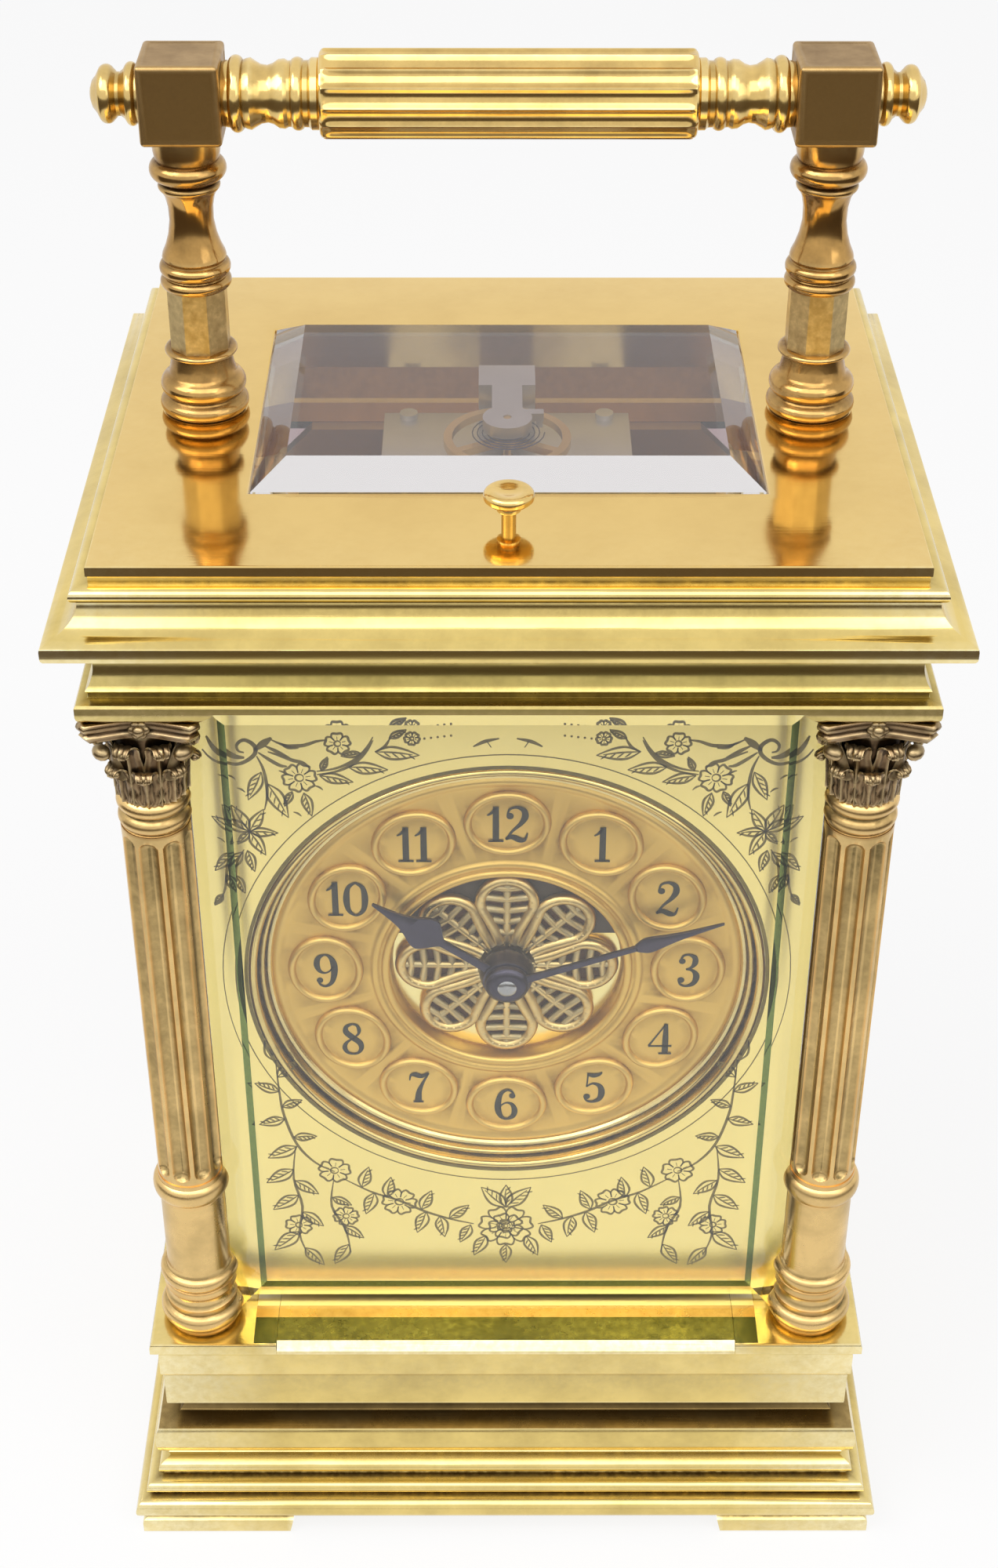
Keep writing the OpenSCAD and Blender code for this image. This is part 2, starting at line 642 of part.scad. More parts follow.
module entablature() {
  in_x = col_x - 4.5;
  in_y = col_y - 3;
  long = col_x - 6.5;
  color(pale_brass) difference() {
    mould(col_x, col_y, entablature_profile());
    slab_box(in_x, in_y, z_ent - cut, z_cornice + cut);
    // Lower edge cut up between the columns, with sloping ends
    for (s = [0, 180]) rotate([0, 0, s])
      along_y(-col_y - 2 * fascia_over, -col_y - glass_t / 2 - glass_play)
        polygon([[-long, z_ent - cut], [long, z_ent - cut], [long, z_ent],
                 [long - 2, z_ent + fascia_cut], [2 - long, z_ent + fascia_cut], [-long, z_ent]]);
    glass_channels(z_ent - cut, z_ent + groove_d);
    at_columns() translate([0, 0, z_ent - cut]) cylinder(r = rod_r + run, h = z_cornice - z_ent + 2 * cut);
    translate([hinge_x, hinge_y, z_ent - cut]) cylinder(r = hinge_r, h = pin_seat + cut);
  }
}

function cornice_profile() =
  let (z1 = z_cornice + lip_h)
  concat([[lip_over - 0.5, z_cornice], [lip_over - 0.1, z_cornice + 0.3], [lip_over, z_cornice + 0.8],
          [lip_over, z1 - 0.4], [lip_over - 0.25, z1]],
         arc(lip_over - 0.35, z1 + cove_h, lip_over - 0.35 - plate_over - 0.9, cove_h, 270, 180, 10),
         [[plate_over + 0.9, z_bead]],
         arc(plate_over + 0.9, z_bead + bead_r, bead_r, bead_r, -80, 90, 8),
         [[plate_over - 0.2, z_bead + 2 * bead_r], [plate_over - 0.2, z_plate]]);

module cornice() {
  color(pale_brass) difference() {
    mould(col_x, col_y, cornice_profile());
    slab_box(lid_x + lid_lap - 1.4, lid_y + lid_lap - 1.4, z_cornice - cut, z_plate + cut);
    slab_box(lid_x + lid_lap + glass_play, lid_y + lid_lap + glass_play, z_rebate, z_plate + cut);
    at_columns() translate([0, 0, z_cornice - cut]) cylinder(r = rod_r + run, h = lip_h + 2);
    for (s = [-1, 1]) translate([s * post_x, 0, z_cornice - cut])
      cylinder(r = stud_r, h = z_plate - z_cornice + 2 * cut);
    translate([0, -button_y, z_cornice - cut]) cylinder(r = stem_r + run, h = z_plate - z_cornice);
    translate([0, -button_y, spring_floor]) cylinder(r = spring_r + 0.7, h = z_plate - spring_floor + cut);
  }
}

module top_plate() {
  color("#e6c882") difference() {
    mould(col_x + plate_over, col_y + plate_over,
          [[0, z_plate], [0, z_top - 0.15], [-0.15, z_top]]);
    slab_box(lid_x, lid_y, z_plate - cut, z_top + cut);
    for (s = [-1, 1]) translate([s * post_x, 0, z_plate - cut]) cylinder(r = stud_r, h = plate_t + 2 * cut);
    translate([0, -button_y, z_plate - cut]) cylinder(r = stem_r + run, h = plate_t + 2 * cut);
  }
}

module top_glass() {
  color(clear_glass) union() {
    slab_box(lid_x + lid_lap, lid_y + lid_lap, z_rebate, z_plate);
    mould(lid_x - glass_play, lid_y - glass_play,
          [[0, z_plate - eps], [0, z_top], [-lid_bevel, z_top + lid_rise]]);
  }
}

// A pane that stands upright in the grooves, bevelled all round its outer face
module case_pane(half) {
  z0 = z_slab - groove_d + glass_play;
  z1 = z_ent + groove_d - glass_play;
  b0 = z_slab + 2.4;
  b1 = z_ent - 0.1;
  t = glass_t / 2;
  low = edge_t - t;
  intersection() {
    translate([0, 0, z0]) linear_extrude(z1 - z0)
      polygon([[-half, t], [half, t], [half, -low], [half - bevel_w, -t], [bevel_w - half, -t], [-half, -low]]);
    rotate([90, 0, 90]) linear_extrude(2 * half, center = true)
      polygon([[t, z0], [t, z1], [-low, z1], [-low, b1], [-t, b1 - bevel_w],
               [-t, b0 + bevel_w], [-low, b0], [-low, z0]]);
  }
}

module front_glass() {
  color(clear_glass) translate([0, -col_y, 0]) case_pane(pane_half_x);
}

module left_glass() {
  color(clear_glass) translate([-col_x, 0, 0]) rotate([0, 0, -90]) case_pane(pane_half_y);
}

module right_glass() {
  color(clear_glass) translate([col_x, 0, 0]) rotate([0, 0, 90]) case_pane(pane_half_y);
}

module door_frame() {
  y0 = col_y - door_t / 2;
  y1 = col_y + door_t / 2;
  in_x = door_x - door_rail;
  lug_h = 5;
  bore_h = pin_reach + 0.2;
  color(brass) difference() {
    union() {
      translate([-door_x, y0, z_door]) cube([2 * door_x, door_t, door_h]);
      for (z = [z_door, z_door + door_h - lug_h]) translate([hinge_x, hinge_y, z]) {
        cylinder(r = 1.5, h = lug_h);
        translate([-1.5, -1.6, 0]) cube([3, 1.6, lug_h]);
      }
    }
    translate([-in_x, y0 - cut, z_door + door_rail]) cube([2 * in_x, door_t + 2 * cut, door_h - 2 * door_rail]);
    translate([-in_x - 1.5, y0 - cut, z_door + door_rail - 1.5])
      cube([2 * in_x + 3, door_glass_t + cut, door_h - 2 * door_rail + 3]);
    for (z = [z_door - cut, z_door + door_h - bore_h]) translate([hinge_x, hinge_y, z])
      cylinder(r = hinge_r + run, h = bore_h + cut);
    bar_y(p_knob, knob_shank_r, y0 - cut, y1 + cut);
  }
}

module door_glass() {
  in_x = door_x - door_rail + 1.5 - glass_play;
  z0 = z_door + door_rail - 1.5 + glass_play;
  z1 = z_door + door_h - door_rail + 1.5 - glass_play;
  y0 = col_y - door_t / 2;
  color(clear_glass) translate([-in_x, y0, z0]) cube([2 * in_x, door_glass_t, z1 - z0]);
}

module door_hinge_pins() {
  color(brass) for (z = [z_slab - pin_seat, z_ent - pin_reach]) translate([hinge_x, hinge_y, z])
    cylinder(r = hinge_r, h = pin_seat + pin_reach);
}

module door_knob() {
  y0 = col_y - door_t / 2;
  color(brass) translate([p_knob[0], y0 - 1.2, p_knob[1]]) rotate([-90, 0, 0])
    rotate_extrude() polygon(concat(
      [[0, 0], [1.5, 0], [1.5, 1.2], [knob_shank_r, 1.2], [knob_shank_r, door_t + 1.2],
       [1.3, door_t + 1.2], [0.9, door_t + 2]],
      arc(knob_r - 0.9, door_t + 3.4, 0.9, 1, -75, 80, 6), [[0, door_t + 4.5]]));
}

function post_profile() =
  let (z1 = post_foot_h)
  let (z2 = z1 + post_oct_h)
  let (z3 = z2 + post_head_h)
  concat([[0, -6.6], [stud_r, -6.6], [stud_r, 0], [post_r - 0.35, 0]],
         arc(post_r - 0.9, 1.1, 0.9, 1, -70, 75, 6),
         arc(post_r - 1.6, 3.4, 1.4, 1.5, -65, 60, 6),
         [[post_r - 1.55, z1 - 2], [post_r - 1.7, z1 - 0.8]],
         arc(post_r - 1.4, z1 - 0.35, 0.5, 0.35, -80, 90, 4),
         [[post_r - 1.9, z1], [post_r - 1.9, z2]],
         arc(post_r - 1.5, z2 + 0.8, 0.45, 0.8, -85, 85, 5),
         arc(post_r - 1.6, z2 + 2.5, 0.5, 0.7, -85, 85, 5),
         [[post_r - 1.45, z2 + 3.9]],
         arc(post_r, z2 + 8.3, 2.6, 4, 235, 125, 8),
         [[post_r - 1.6, z3 - 5.8], [post_r - 1.6, z3 - 5.4]],
         arc(post_r - 2, z3 - 3.9, 1.2, 1.3, -80, 80, 7),
         [[post_r - 1.5, z3 - 2.4], [post_r - 1.3, z3], [stud_r, z3], [stud_r, z3 + 3], [0, z3 + 3]]);

module handle_post(side) {
  color(brass) translate([side * post_x, 0, z_top]) {
    rotate_extrude() polygon(post_profile());
    translate([0, 0, post_foot_h - 0.1]) rotate([0, 0, 22.5])
      cylinder(r = (post_r - 1.65) / cos(22.5), h = post_oct_h + 0.2, $fn = 8);
  }
}

module eased_square(s, c) {
  h = s / 2;
  polygon([[c - h, -h], [h - c, -h], [h, c - h], [h, h - c],
           [h - c, h], [c - h, h], [-h, h - c], [-h, c - h]]);
}

module handle_block(side) {
  color("#8a6f45") translate([side * post_x, 0, z_grip]) difference() {
    intersection() {
      linear_extrude(block, center = true) eased_square(block, block_ease);
      rotate([90, 0, 0]) linear_extrude(block, center = true) eased_square(block, block_ease);
      rotate([0, 90, 0]) linear_extrude(block, center = true) eased_square(block, block_ease);
    }
    rotate([0, 90, 0]) cylinder(r = grip_rod_r + run, h = block + 2 * cut, center = true);
    translate([0, 0, -block / 2 - cut]) cylinder(r = stud_r, h = 3 + cut);
  }
}

module handle_grip() {
  color(pale_brass) translate([0, 0, z_grip]) rotate([0, 90, 0]) difference() {
    rotate_extrude() polygon([[grip_rod_r + run, -grip_l / 2], [grip_r - 0.4, -grip_l / 2],
      [grip_r, 0.4 - grip_l / 2], [grip_r, grip_l / 2 - 0.4], [grip_r - 0.4, grip_l / 2],
      [grip_rod_r + run, grip_l / 2]]);
    for (i = [0:grip_flutes - 1]) rotate([0, 0, i * 360 / grip_flutes])
      translate([grip_r + 0.05, 0, 0]) cylinder(r = 0.62, h = grip_l + 2 * cut, center = true, $fn = 24);
  }
}

module handle_collars() {
  l = post_x - block / 2 - grip_l / 2;
  r = grip_r - 0.7;
  color(brass) for (s = [0, 180]) translate([0, 0, z_grip]) rotate([0, 0, s])
    translate([grip_l / 2, 0, 0]) rotate([0, 90, 0]) rotate_extrude() polygon(concat(
      [[grip_rod_r + run, 0], [r - 0.3, 0], [r - 0.25, 1.3]],
      arc(r - 1, l * 0.24, 0.8, l * 0.08, -85, 85, 6),
      [[r - 0.55, l * 0.34], [r - 0.35, l * 0.38], [r - 0.55, l * 0.42]],
      arc(r + 0.6, l * 0.56, 1.6, l * 0.13, 250, 110, 6),
      arc(r - 0.55, l * 0.73, 0.3, l * 0.03, -85, 85, 4),
      arc(r - 1, l * 0.87, 1, l * 0.1, -85, 85, 7),
      [[r - 0.5, l], [grip_rod_r + run, l]]));
}

module handle_finials() {
  reach = post_x + block / 2;
  shank = reach - grip_l / 2 + 6;
  color(brass) for (s = [0, 180]) translate([0, 0, z_grip]) rotate([0, 0, s])
    translate([reach, 0, 0]) rotate([0, 90, 0]) rotate_extrude() polygon(concat(
      [[0, -shank], [grip_rod_r, -shank], [grip_rod_r, 0], [3.35, 0], [3.35, 1.3], [2.7, 1.5]],
      arc(3.1, finial_l * 0.46, 0.8, finial_l * 0.12, 240, 120, 5),
      arc(2.2, finial_l * 0.8, 1, finial_l * 0.19, -80, 85, 7), [[0, finial_l]]));
}

module repeat_button() {
  color(brass) translate([0, -button_y, 0]) rotate_extrude() polygon(concat(
    [[0, stem_end], [0.35, stem_end], [stem_r, stem_end + 0.5], [stem_r, spring_top],
     [spring_r + 0.3, spring_top],
     [spring_r + 0.3, z_plate - 0.1], [stem_r, z_plate - 0.1], [stem_r, z_top + button_travel + 0.2],
     [1.3, z_top + button_travel + 0.3], [1.15, z_top + button_h - 1.4],
     [button_r - 0.2, z_top + button_h - 1.3]],
    arc(0, z_top + button_h - 1.1, button_r, 1.1, 0, 84, 8),
    [[0.3, z_top + button_h - 0.35], [0, z_top + button_h - 0.35]]));
}

// A tube with flat ends along a list of points, for wound wire
module wire(path, d, sides = 6) {
  n = len(path);
  function unit(v) = v / norm(v);
  function way(i) = unit(path[min(i + 1, n - 1)] - path[max(i - 1, 0)]);
  pts = [for (i = [0:n - 1])
    let (t = way(i), u = unit(cross(t, [0.02, 0.03, 1])), w = cross(t, u))
    for (k = [0:sides - 1]) path[i] + d / 2 * (cos(k * 360 / sides) * u + sin(k * 360 / sides) * w)];
  skin = [for (i = [0:n - 2], k = [0:sides - 1])
    let (a = i * sides + k, b = i * sides + (k + 1) % sides)
    each [[a + sides, b + sides, b], [a + sides, b, a]]];
  caps = [[for (k = [0:sides - 1]) k], [for (k = [sides - 1:-1:0]) (n - 1) * sides + k]];
  polyhedron(points = pts, faces = concat(skin, caps), convexity = 8);
}

module repeat_spring() {
  color(steel) wire(spring_path, spring_wire);
}

module repeat_lever() {
  color(steel) {
    translate([-4.6, lever_y, lever_z]) rotate([0, 90, 0]) cylinder(r = 0.6, h = 9.2);
    translate([-2.6, lever_y, lever_z]) rotate([0, 90, 0]) cylinder(r = 1.3, h = 5.2);
    translate([-1.6, -button_y - 0.9, stem_end - 1]) cube([3.2, button_y + lever_y + 0.9, 0.9]);
    translate([-1.6, lever_y - 1.2, lever_z]) cube([3.2, 1.2, stem_end - 0.1 - lever_z]);
    translate([-1.6, lever_y - 0.5, lever_z - 9]) cube([3.2, 1, 9]);
  }
}

module dial_mask() {
  z0 = z_slab + 0.8;
  z1 = z_ent - 0.6;
  color(gilt) along_y(-mask_front, -mask_back) difference() {
    translate([-mask_x, z0]) square([2 * mask_x, z1 - z0]);
    translate(p_centre) circle(r = mask_r, $fn = 96);
  }
}

// A ring turned about the dial's axis; points are [radius, distance forward of the middle]
module turned_dial(points) {
  translate([0, 0, dial_z]) rotate([90, 0, 0]) rotate_extrude($fn = 96) polygon(points);
}

module dial_bezel() {
  r = ring_r;
  f = ring_front;
  color(pale_brass) turned_dial([[r, f - ring_t], [r, f - 0.1], [r + 0.7, f + 0.1], [r + 0.8, f + 0.6],
    [r + 1.6, f + 1], [r + 1.8, mask_front - 0.2], [mask_r - 0.6, mask_front + 0.3],
    [mask_r - 0.05, mask_front], [mask_r - 0.05, mask_back], [mask_r + 2.2, mask_back],
    [mask_r + 2.2, mask_back - 0.7], [r + 1.5, mask_back - 0.7], [r + 1.5, f - ring_t]]);
}

module oval(w, h) {
  polygon(arc(0, 0, w / 2, h / 2, 0, 345, 23));
}

module dial_ring() {
  f = ring_front;
  floor_f = f - centre_d;
  color("#d6ae5e") {
    turned_dial([[hour_pipe_r + 0.3, floor_f - 0.8], [hour_pipe_r + 0.3, floor_f],
      [centre_r, floor_f], [centre_r, f + 0.3], [centre_r + 0.5, f + 0.45], [centre_r + 1.4, f + 0.35],
      [centre_r + 1.8, f], [ring_r - 1, f], [ring_r - 0.5, f + 0.2], [ring_r - 0.05, f],
      [ring_r - 0.05, f - ring_t], [centre_r + 0.8, f - ring_t], [centre_r + 0.8, floor_f - 0.8]]);
    for (i = [0:11]) translate([0, 0, dial_z]) rotate([0, i * 30, 0]) translate([0, 0, plaque_r])
      along_y(-f - 0.4, -f + 0.2) difference() {
        oval(plaque_w, plaque_h);
        oval(plaque_w - 1.3, plaque_h - 1.3);
      }
    for (a = [45:90:315]) bar_y(p_centre + dial_feet_r * [cos(a), sin(a)], 0.9, -f + 0.5, y_front_in);
  }
}

module dial_rosette() {
  f = ring_front - centre_d;
  mid = centre_r * 0.62;
  l = centre_r * 0.68;
  w = 7.6;
  color(brass) translate([0, 0, dial_z]) along_y(-f - 0.9, -f - 0.3) difference() {
    union() {
      circle(r = 4.2);
      for (i = [0:petals - 1]) rotate(i * 360 / petals + 90) translate([mid, 0]) difference() {
        oval(l, w);
        oval(l - 1.6, w - 1.6);
      }
      for (i = [0:petals - 1]) rotate(i * 360 / petals + 90) translate([3.5, -0.35]) square([l - 0.6, 0.7]);
    }
    circle(r = hour_pipe_r + 0.35);
  }
  color(brass) for (i = [0:3]) translate([0, 0, dial_z]) rotate([0, i * 90, 0])
    along_y(-f - 0.4, -f) translate([-0.5, 3]) square([1, 1]);
}

// A hand drawn pointing up: a thin stem, a leaf and a fine point
module hand_outline(l, leaf_w, leaf_a, leaf_b, hub) {
  stem = 0.45;
  mid = leaf_a + (leaf_b - leaf_a) * 0.38;
  polygon([[-hub * 0.5, 0], [-stem, hub], [-stem, leaf_a], [-leaf_w * 0.78, mid - (mid - leaf_a) * 0.45],
           [-leaf_w, mid], [-leaf_w * 0.55, (mid + leaf_b) / 2], [-0.28, leaf_b], [-0.16, l],
           [0.16, l], [0.28, leaf_b], [leaf_w * 0.55, (mid + leaf_b) / 2], [leaf_w, mid],
           [leaf_w * 0.78, mid - (mid - leaf_a) * 0.45], [stem, leaf_a], [stem, hub], [hub * 0.5, 0]]);
}

module minute_hand() {
  color(blued) translate([0, 0, dial_z]) {
    rotate([0, minute_deg, 0]) along_y(y_minute - hand_t, y_minute) difference() {
      union() {
        hand_outline(minute_l, 1.3, minute_l * 0.56, minute_l * 0.84, 2.4);
        circle(r = 2.5);
      }
      circle(r = cannon_r + run);
    }
    rotate([90, 0, 0]) translate([0, 0, -y_minute + 0.5]) rotate_extrude()
      polygon(concat([[cannon_r + run, 0], [2, 0]], arc(0.9, 0.45, 0.9, 0.55, 0, 88, 5),
                     [[0, 1], [0, 0.7], [cannon_r + run, 0.7]]));
  }
}

module hour_hand() {
  color(blued) translate([0, 0, dial_z]) difference() {
    union() {
      rotate([0, hour_deg, 0]) along_y(y_hour - hand_t, y_hour)
        hand_outline(hour_l, 1.7, hour_l * 0.46, hour_l * 0.82, 2.8);
      along_y(y_hour - hand_t, y_hour) circle(r = 3.1);
    }
    along_y(y_hour - 2 * hand_t, y_hour + hand_t) circle(r = hour_pipe_r);
  }
}

// Both plates have the same outline: they stand on the slab, with the top corners cut off
module plate_outline() {
  corner = 8;
  polygon([[-plate_x, z_slab], [plate_x, z_slab], [plate_x, z_frame - corner],
           [plate_x - corner, z_frame], [corner - plate_x, z_frame], [-plate_x, z_frame - corner]]);
}

module pivot_hole(p, r, y0, y1) {
  bar_y(p, r + run, y0 - cut, y1 + cut);
}

module front_plate() {
  y0 = -frame_front;
  y1 = y_front_in;
  color(brass) difference() {
    union() {
      along_y(y0, y1) plate_outline();
      bar_y(p_motion, arbor_r, y0 - 3.6, y0 + 0.1);
      // Ears that carry the repeat lever
      for (x = [-4.4, 3.2]) translate([x, lever_y - 1.5, lever_z - 1.5]) cube([1.2, y0 - lever_y + 1.6, 3]);
    }
    pivot_hole(p_centre, arbor_r, y0, y1);
    pivot_hole(p_going, barrel_pivot_r, y0, y1);
    pivot_hole(p_strike, barrel_pivot_r, y0, y1);
    pivot_hole(p_third, pivot_r, y0, y1);
    pivot_hole(p_contrate, pivot_r, y0, y1);
    pivot_hole(p_hammer, 0.9, y0, y1);
    for (p = pillars) pivot_hole(p, 1.2, y0, y1);
    for (a = [45:90:315]) bar_y(p_centre + dial_feet_r * [cos(a), sin(a)], 0.95, y0 - cut, y1 + cut);
    translate([-5, lever_y, lever_z]) rotate([0, 90, 0]) cylinder(r = 0.6 + run, h = 10);
  }
}

module back_plate() {
  y0 = y_back_in;
  y1 = frame_back;
  color(brass) difference() {
    along_y(y0, y1) plate_outline();
    pivot_hole(p_centre, arbor_r, y0, y1);
    pivot_hole(p_going, barrel_pivot_r, y0, y1);
    pivot_hole(p_strike, barrel_pivot_r, y0, y1);
    pivot_hole(p_third, pivot_r, y0, y1);
    pivot_hole(p_contrate, pivot_r, y0, y1);
    pivot_hole(p_hammer, 0.9, y0, y1);
    for (p = pillars) pivot_hole(p, 1.2, y0, y1);
  }
}

module plate_pillars() {
  color(brass) for (p = pillars) {
    bar_y(p, pillar_r, y_front_in, y_back_in);
    bar_y(p, 1.2, -frame_front - 0.9, frame_back + 1.3);
    bar_y(p, 1.9, -frame_front - 0.9, -frame_front);
    translate([p[0], frame_back + 1.6, p[1]]) rotate([90, 0, 0]) cylinder(r = 2.3, h = 1.6, $fn = 6);
  }
}

// A barrel: drum, toothed wheel, arbor with a square for the key
module barrel(p, n, phase, y_wheel) {
  sq = 2.6;
  wheel_t = 1.6;
  color(brass) {
    bar_y(p, drum_r, barrel_front, barrel_back);
    bar_y(p, drum_r - 3, min(0, y_wheel + 1), max(0, y_wheel + 1));
    translate([p[0], 0, p[1]]) along_y(y_wheel, y_wheel + wheel_t) rotate(phase) polygon(gear(n, train_m));
    bar_y(p, barrel_pivot_r + 0.4, y_front_in + 0.2, y_back_in - 0.2);
    bar_y(p, barrel_pivot_r, -frame_front + 0.1, frame_back + 0.4);
    translate([p[0] - sq / 2, frame_back + 0.4 - eps, p[1] - sq / 2]) cube([sq, 6.6, sq]);
  }
}

module going_barrel() {
  barrel(p_going, great_n, bearing(p_going, p_centre), 9);
}

module strike_barrel() {
  barrel(p_strike, strike_n, 0, -9.8);
}

// A toothed wheel with arms, cut from sheet
module crossed_wheel(n, m, phase, arms, bore) {
  r = n * m / 2;
  difference() {
    rotate(phase) polygon(gear(n, m));
    for (i = [0:arms - 1]) rotate(i * 360 / arms) difference() {
      intersection() {
        circle(r = r - 2.2);
        polygon([[0, 0], 2 * r * [cos(8), sin(8)], 2 * r * [cos(180 / arms), sin(180 / arms)],
                 2 * r * [cos(360 / arms - 8), sin(360 / arms - 8)]]);
      }
      circle(r = 3.4);
    }
    circle(r = bore);
  }
}

module centre_wheel() {
  color(brass) translate([0, 0, dial_z]) {
    along_y(-13.4, -12.2) crossed_wheel(great_n, train_m, bearing(p_centre, p_third), 4, arbor_r);
    along_y(8.6, 11) rotate(bearing(p_centre, p_going) + 180 / leaf_n) polygon(gear(leaf_n, train_m, false));
  }
  color(steel) {
    bar_y(p_centre, arbor_r, y_minute - 0.4, frame_back + 3);
    bar_y(p_centre, 1.6, -15.2, 8.7);
    translate([-0.9, frame_back + 3 - eps, dial_z - 0.9]) cube([1.8, 4, 1.8]);
  }
}

module third_wheel() {
  color(brass) translate([p_third[0], 0, p_third[1]]) {
    along_y(-9.2, -8.1) crossed_wheel(third_n, train_m, bearing(p_third, p_contrate), 4, arbor_r);
    along_y(-14.2, -11.4) rotate(bearing(p_third, p_centre) + 180 / leaf_n)
      polygon(gear(leaf_n, train_m, false));
  }
  color(steel) {
    bar_y(p_third, pivot_r, -frame_front + 0.2, frame_back - 0.2);
    bar_y(p_third, 1.2, y_front_in + 0.2, y_back_in - 0.2);
  }
}

module contrate_wheel() {
  color(brass) translate([0, 0, p_contrate[1]]) {
    along_y(-5, crown_face) difference() {
      circle(r = crown_r);
      for (i = [0:3]) rotate(i * 90 + 45) translate([5, 0]) circle(r = 2.2);
    }
    // Crown teeth that stand up from the rim
    along_y(crown_face - 0.2, crown_pitch + 0.2) for (i = [0:crown_n - 1]) rotate(i * 360 / crown_n + 90)
      translate([crown_r - crown_w, -0.18]) square([crown_w, 0.36]);
    along_y(-10, -7.3) rotate(bearing(p_contrate, p_third) + 180 / leaf_n)
      polygon(gear(leaf_n, train_m, false));
  }
  color(steel) {
    bar_y(p_contrate, pivot_r, -frame_front + 0.2, frame_back - 0.2);
    bar_y(p_contrate, 1.1, y_front_in + 0.2, y_back_in - 0.2);
  }
}

module cannon_pinion() {
  y1 = -frame_front - 0.4;
  color(steel) translate([0, 0, dial_z]) difference() {
    union() {
      along_y(y_minute - 0.8, y1) circle(r = cannon_r);
      along_y(y1 - 1.5, y1) rotate(bearing(p_centre, p_motion)) polygon(gear(cannon_n, 0.5, false));
    }
    along_y(y_minute - 2, y1 + cut) circle(r = arbor_r + run);
  }
}

module minute_wheel() {
  y1 = -frame_front - 0.5;
  color(brass) translate([p_motion[0], 0, p_motion[1]]) difference() {
    union() {
      along_y(y1 - 0.8, y1)
        crossed_wheel(minute_n, 0.5, bearing(p_motion, p_centre) + 180 / minute_n, 3, arbor_r);
      along_y(y1 - 2.6, y1 - 0.7) rotate(bearing(p_motion, p_centre))
        polygon(gear(motion_leaf_n, 0.48, false));
    }
    along_y(y1 - 4, y1 + cut) circle(r = arbor_r + run);
  }
}

module hour_wheel() {
  y1 = -frame_front - 2.3;
  color(brass) translate([0, 0, dial_z]) difference() {
    union() {
      along_y(y1 - 0.8, y1) rotate(bearing(p_centre, p_motion) + 180 / hour_n) polygon(gear(hour_n, 0.48));
      along_y(y_hour - 0.5, y1) circle(r = hour_pipe_r);
    }
    along_y(y_hour - 2, y1 + cut) circle(r = cannon_r + run);
  }
}

module platform() {
  y0 = -frame_front + 1;
  y1 = frame_back - 0.5;
  color("#b9bcc0") difference() {
    union() {
      translate([-platform_x, y0, z_frame]) cube([2 * platform_x, y1 - y0, platform_t]);
      // Upper cock of the escape wheel
      translate([-7, y_escape - 3.6, z_platform - eps]) cube([3, 7.2, 2.1]);
      translate([-7, y_escape - 1.2, z_platform + 2]) cube([8.2, 2.4, 0.7]);
      // Lower cock, which reaches down inside the crown teeth
      translate([-1.2, y_escape + 1.9, z_frame - 4.4]) cube([2.4, 1.6, 4.5]);
      translate([-1.2, y_escape - 0.6, z_frame - 4.4]) cube([2.4, 2.7, 0.8]);
      // Four screw heads
      for (sx = [-1, 1], y = [y0 + 1.2, y1 - 1.2]) translate([sx * (platform_x - 3), y, z_platform - eps])
        cylinder(r = 1.1, h = 0.7);
    }
    translate([0, y_escape, z_frame - cut]) cylinder(r = 1.5, h = platform_t + 2 * cut);
    translate([0, y_escape, z_platform + 1.8]) cylinder(r = 0.4 + run, h = 2);
    translate([0, y_escape, z_frame - 4.6]) cylinder(r = 0.4 + run, h = 1.4);
    translate([0, y_balance, z_frame - cut]) cylinder(r = 0.45 + run, h = platform_t + 2 * cut);
  }
}

module escape_wheel() {
  n = 15;
  color(brass) translate([0, y_escape, 0]) {
    translate([0, 0, z_escape]) linear_extrude(0.6) polygon([for (i = [0:n - 1]) for (k = [0:2])
      let (a = i * 360 / n + [0, 13, 15][k], r = [escape_r - 0.8, escape_r - 0.5, escape_r][k])
      r * [cos(a), sin(a)]]);
    translate([0, 0, z_frame - 2.6]) linear_extrude(2.2) rotate(270 + 180 / escape_leaf_n)
      polygon([for (i = [0:escape_leaf_n - 1]) for (s = [0:5])
        let (h = [-10, -9, -5, 5, 9, 10][s], r = [0.55, escape_pitch_r, 1.15, 1.15, escape_pitch_r, 0.55][s])
        r * [cos(i * 60 + h), sin(i * 60 + h)]]);
    translate([0, 0, z_frame - 4.3]) cylinder(r = 0.4, h = z_platform + 2.6 - z_frame + 4.3);
  }
}

module balance_wheel() {
  color("#c9a24e") translate([0, y_balance, 0]) {
    translate([0, 0, z_balance]) linear_extrude(0.9) {
      difference() {
        circle(r = balance_r, $fn = 72);
        circle(r = balance_r - 1, $fn = 72);
      }
      for (i = [0:2]) rotate(i * 120 + 90) translate([0, -0.5]) square([balance_r - 0.5, 1]);
      circle(r = 1.4);
    }
    translate([0, 0, z_frame + 0.1]) cylinder(r = 0.45, h = z_cock + 1.2 - z_frame);
    for (z = [z_escape - 0.4, z_balance + 0.8]) translate([0, 0, z]) cylinder(r = 0.72, h = 1);
  }
}

module balance_spring() {
  color(blued) wire(hair_path, hair_wire);
}

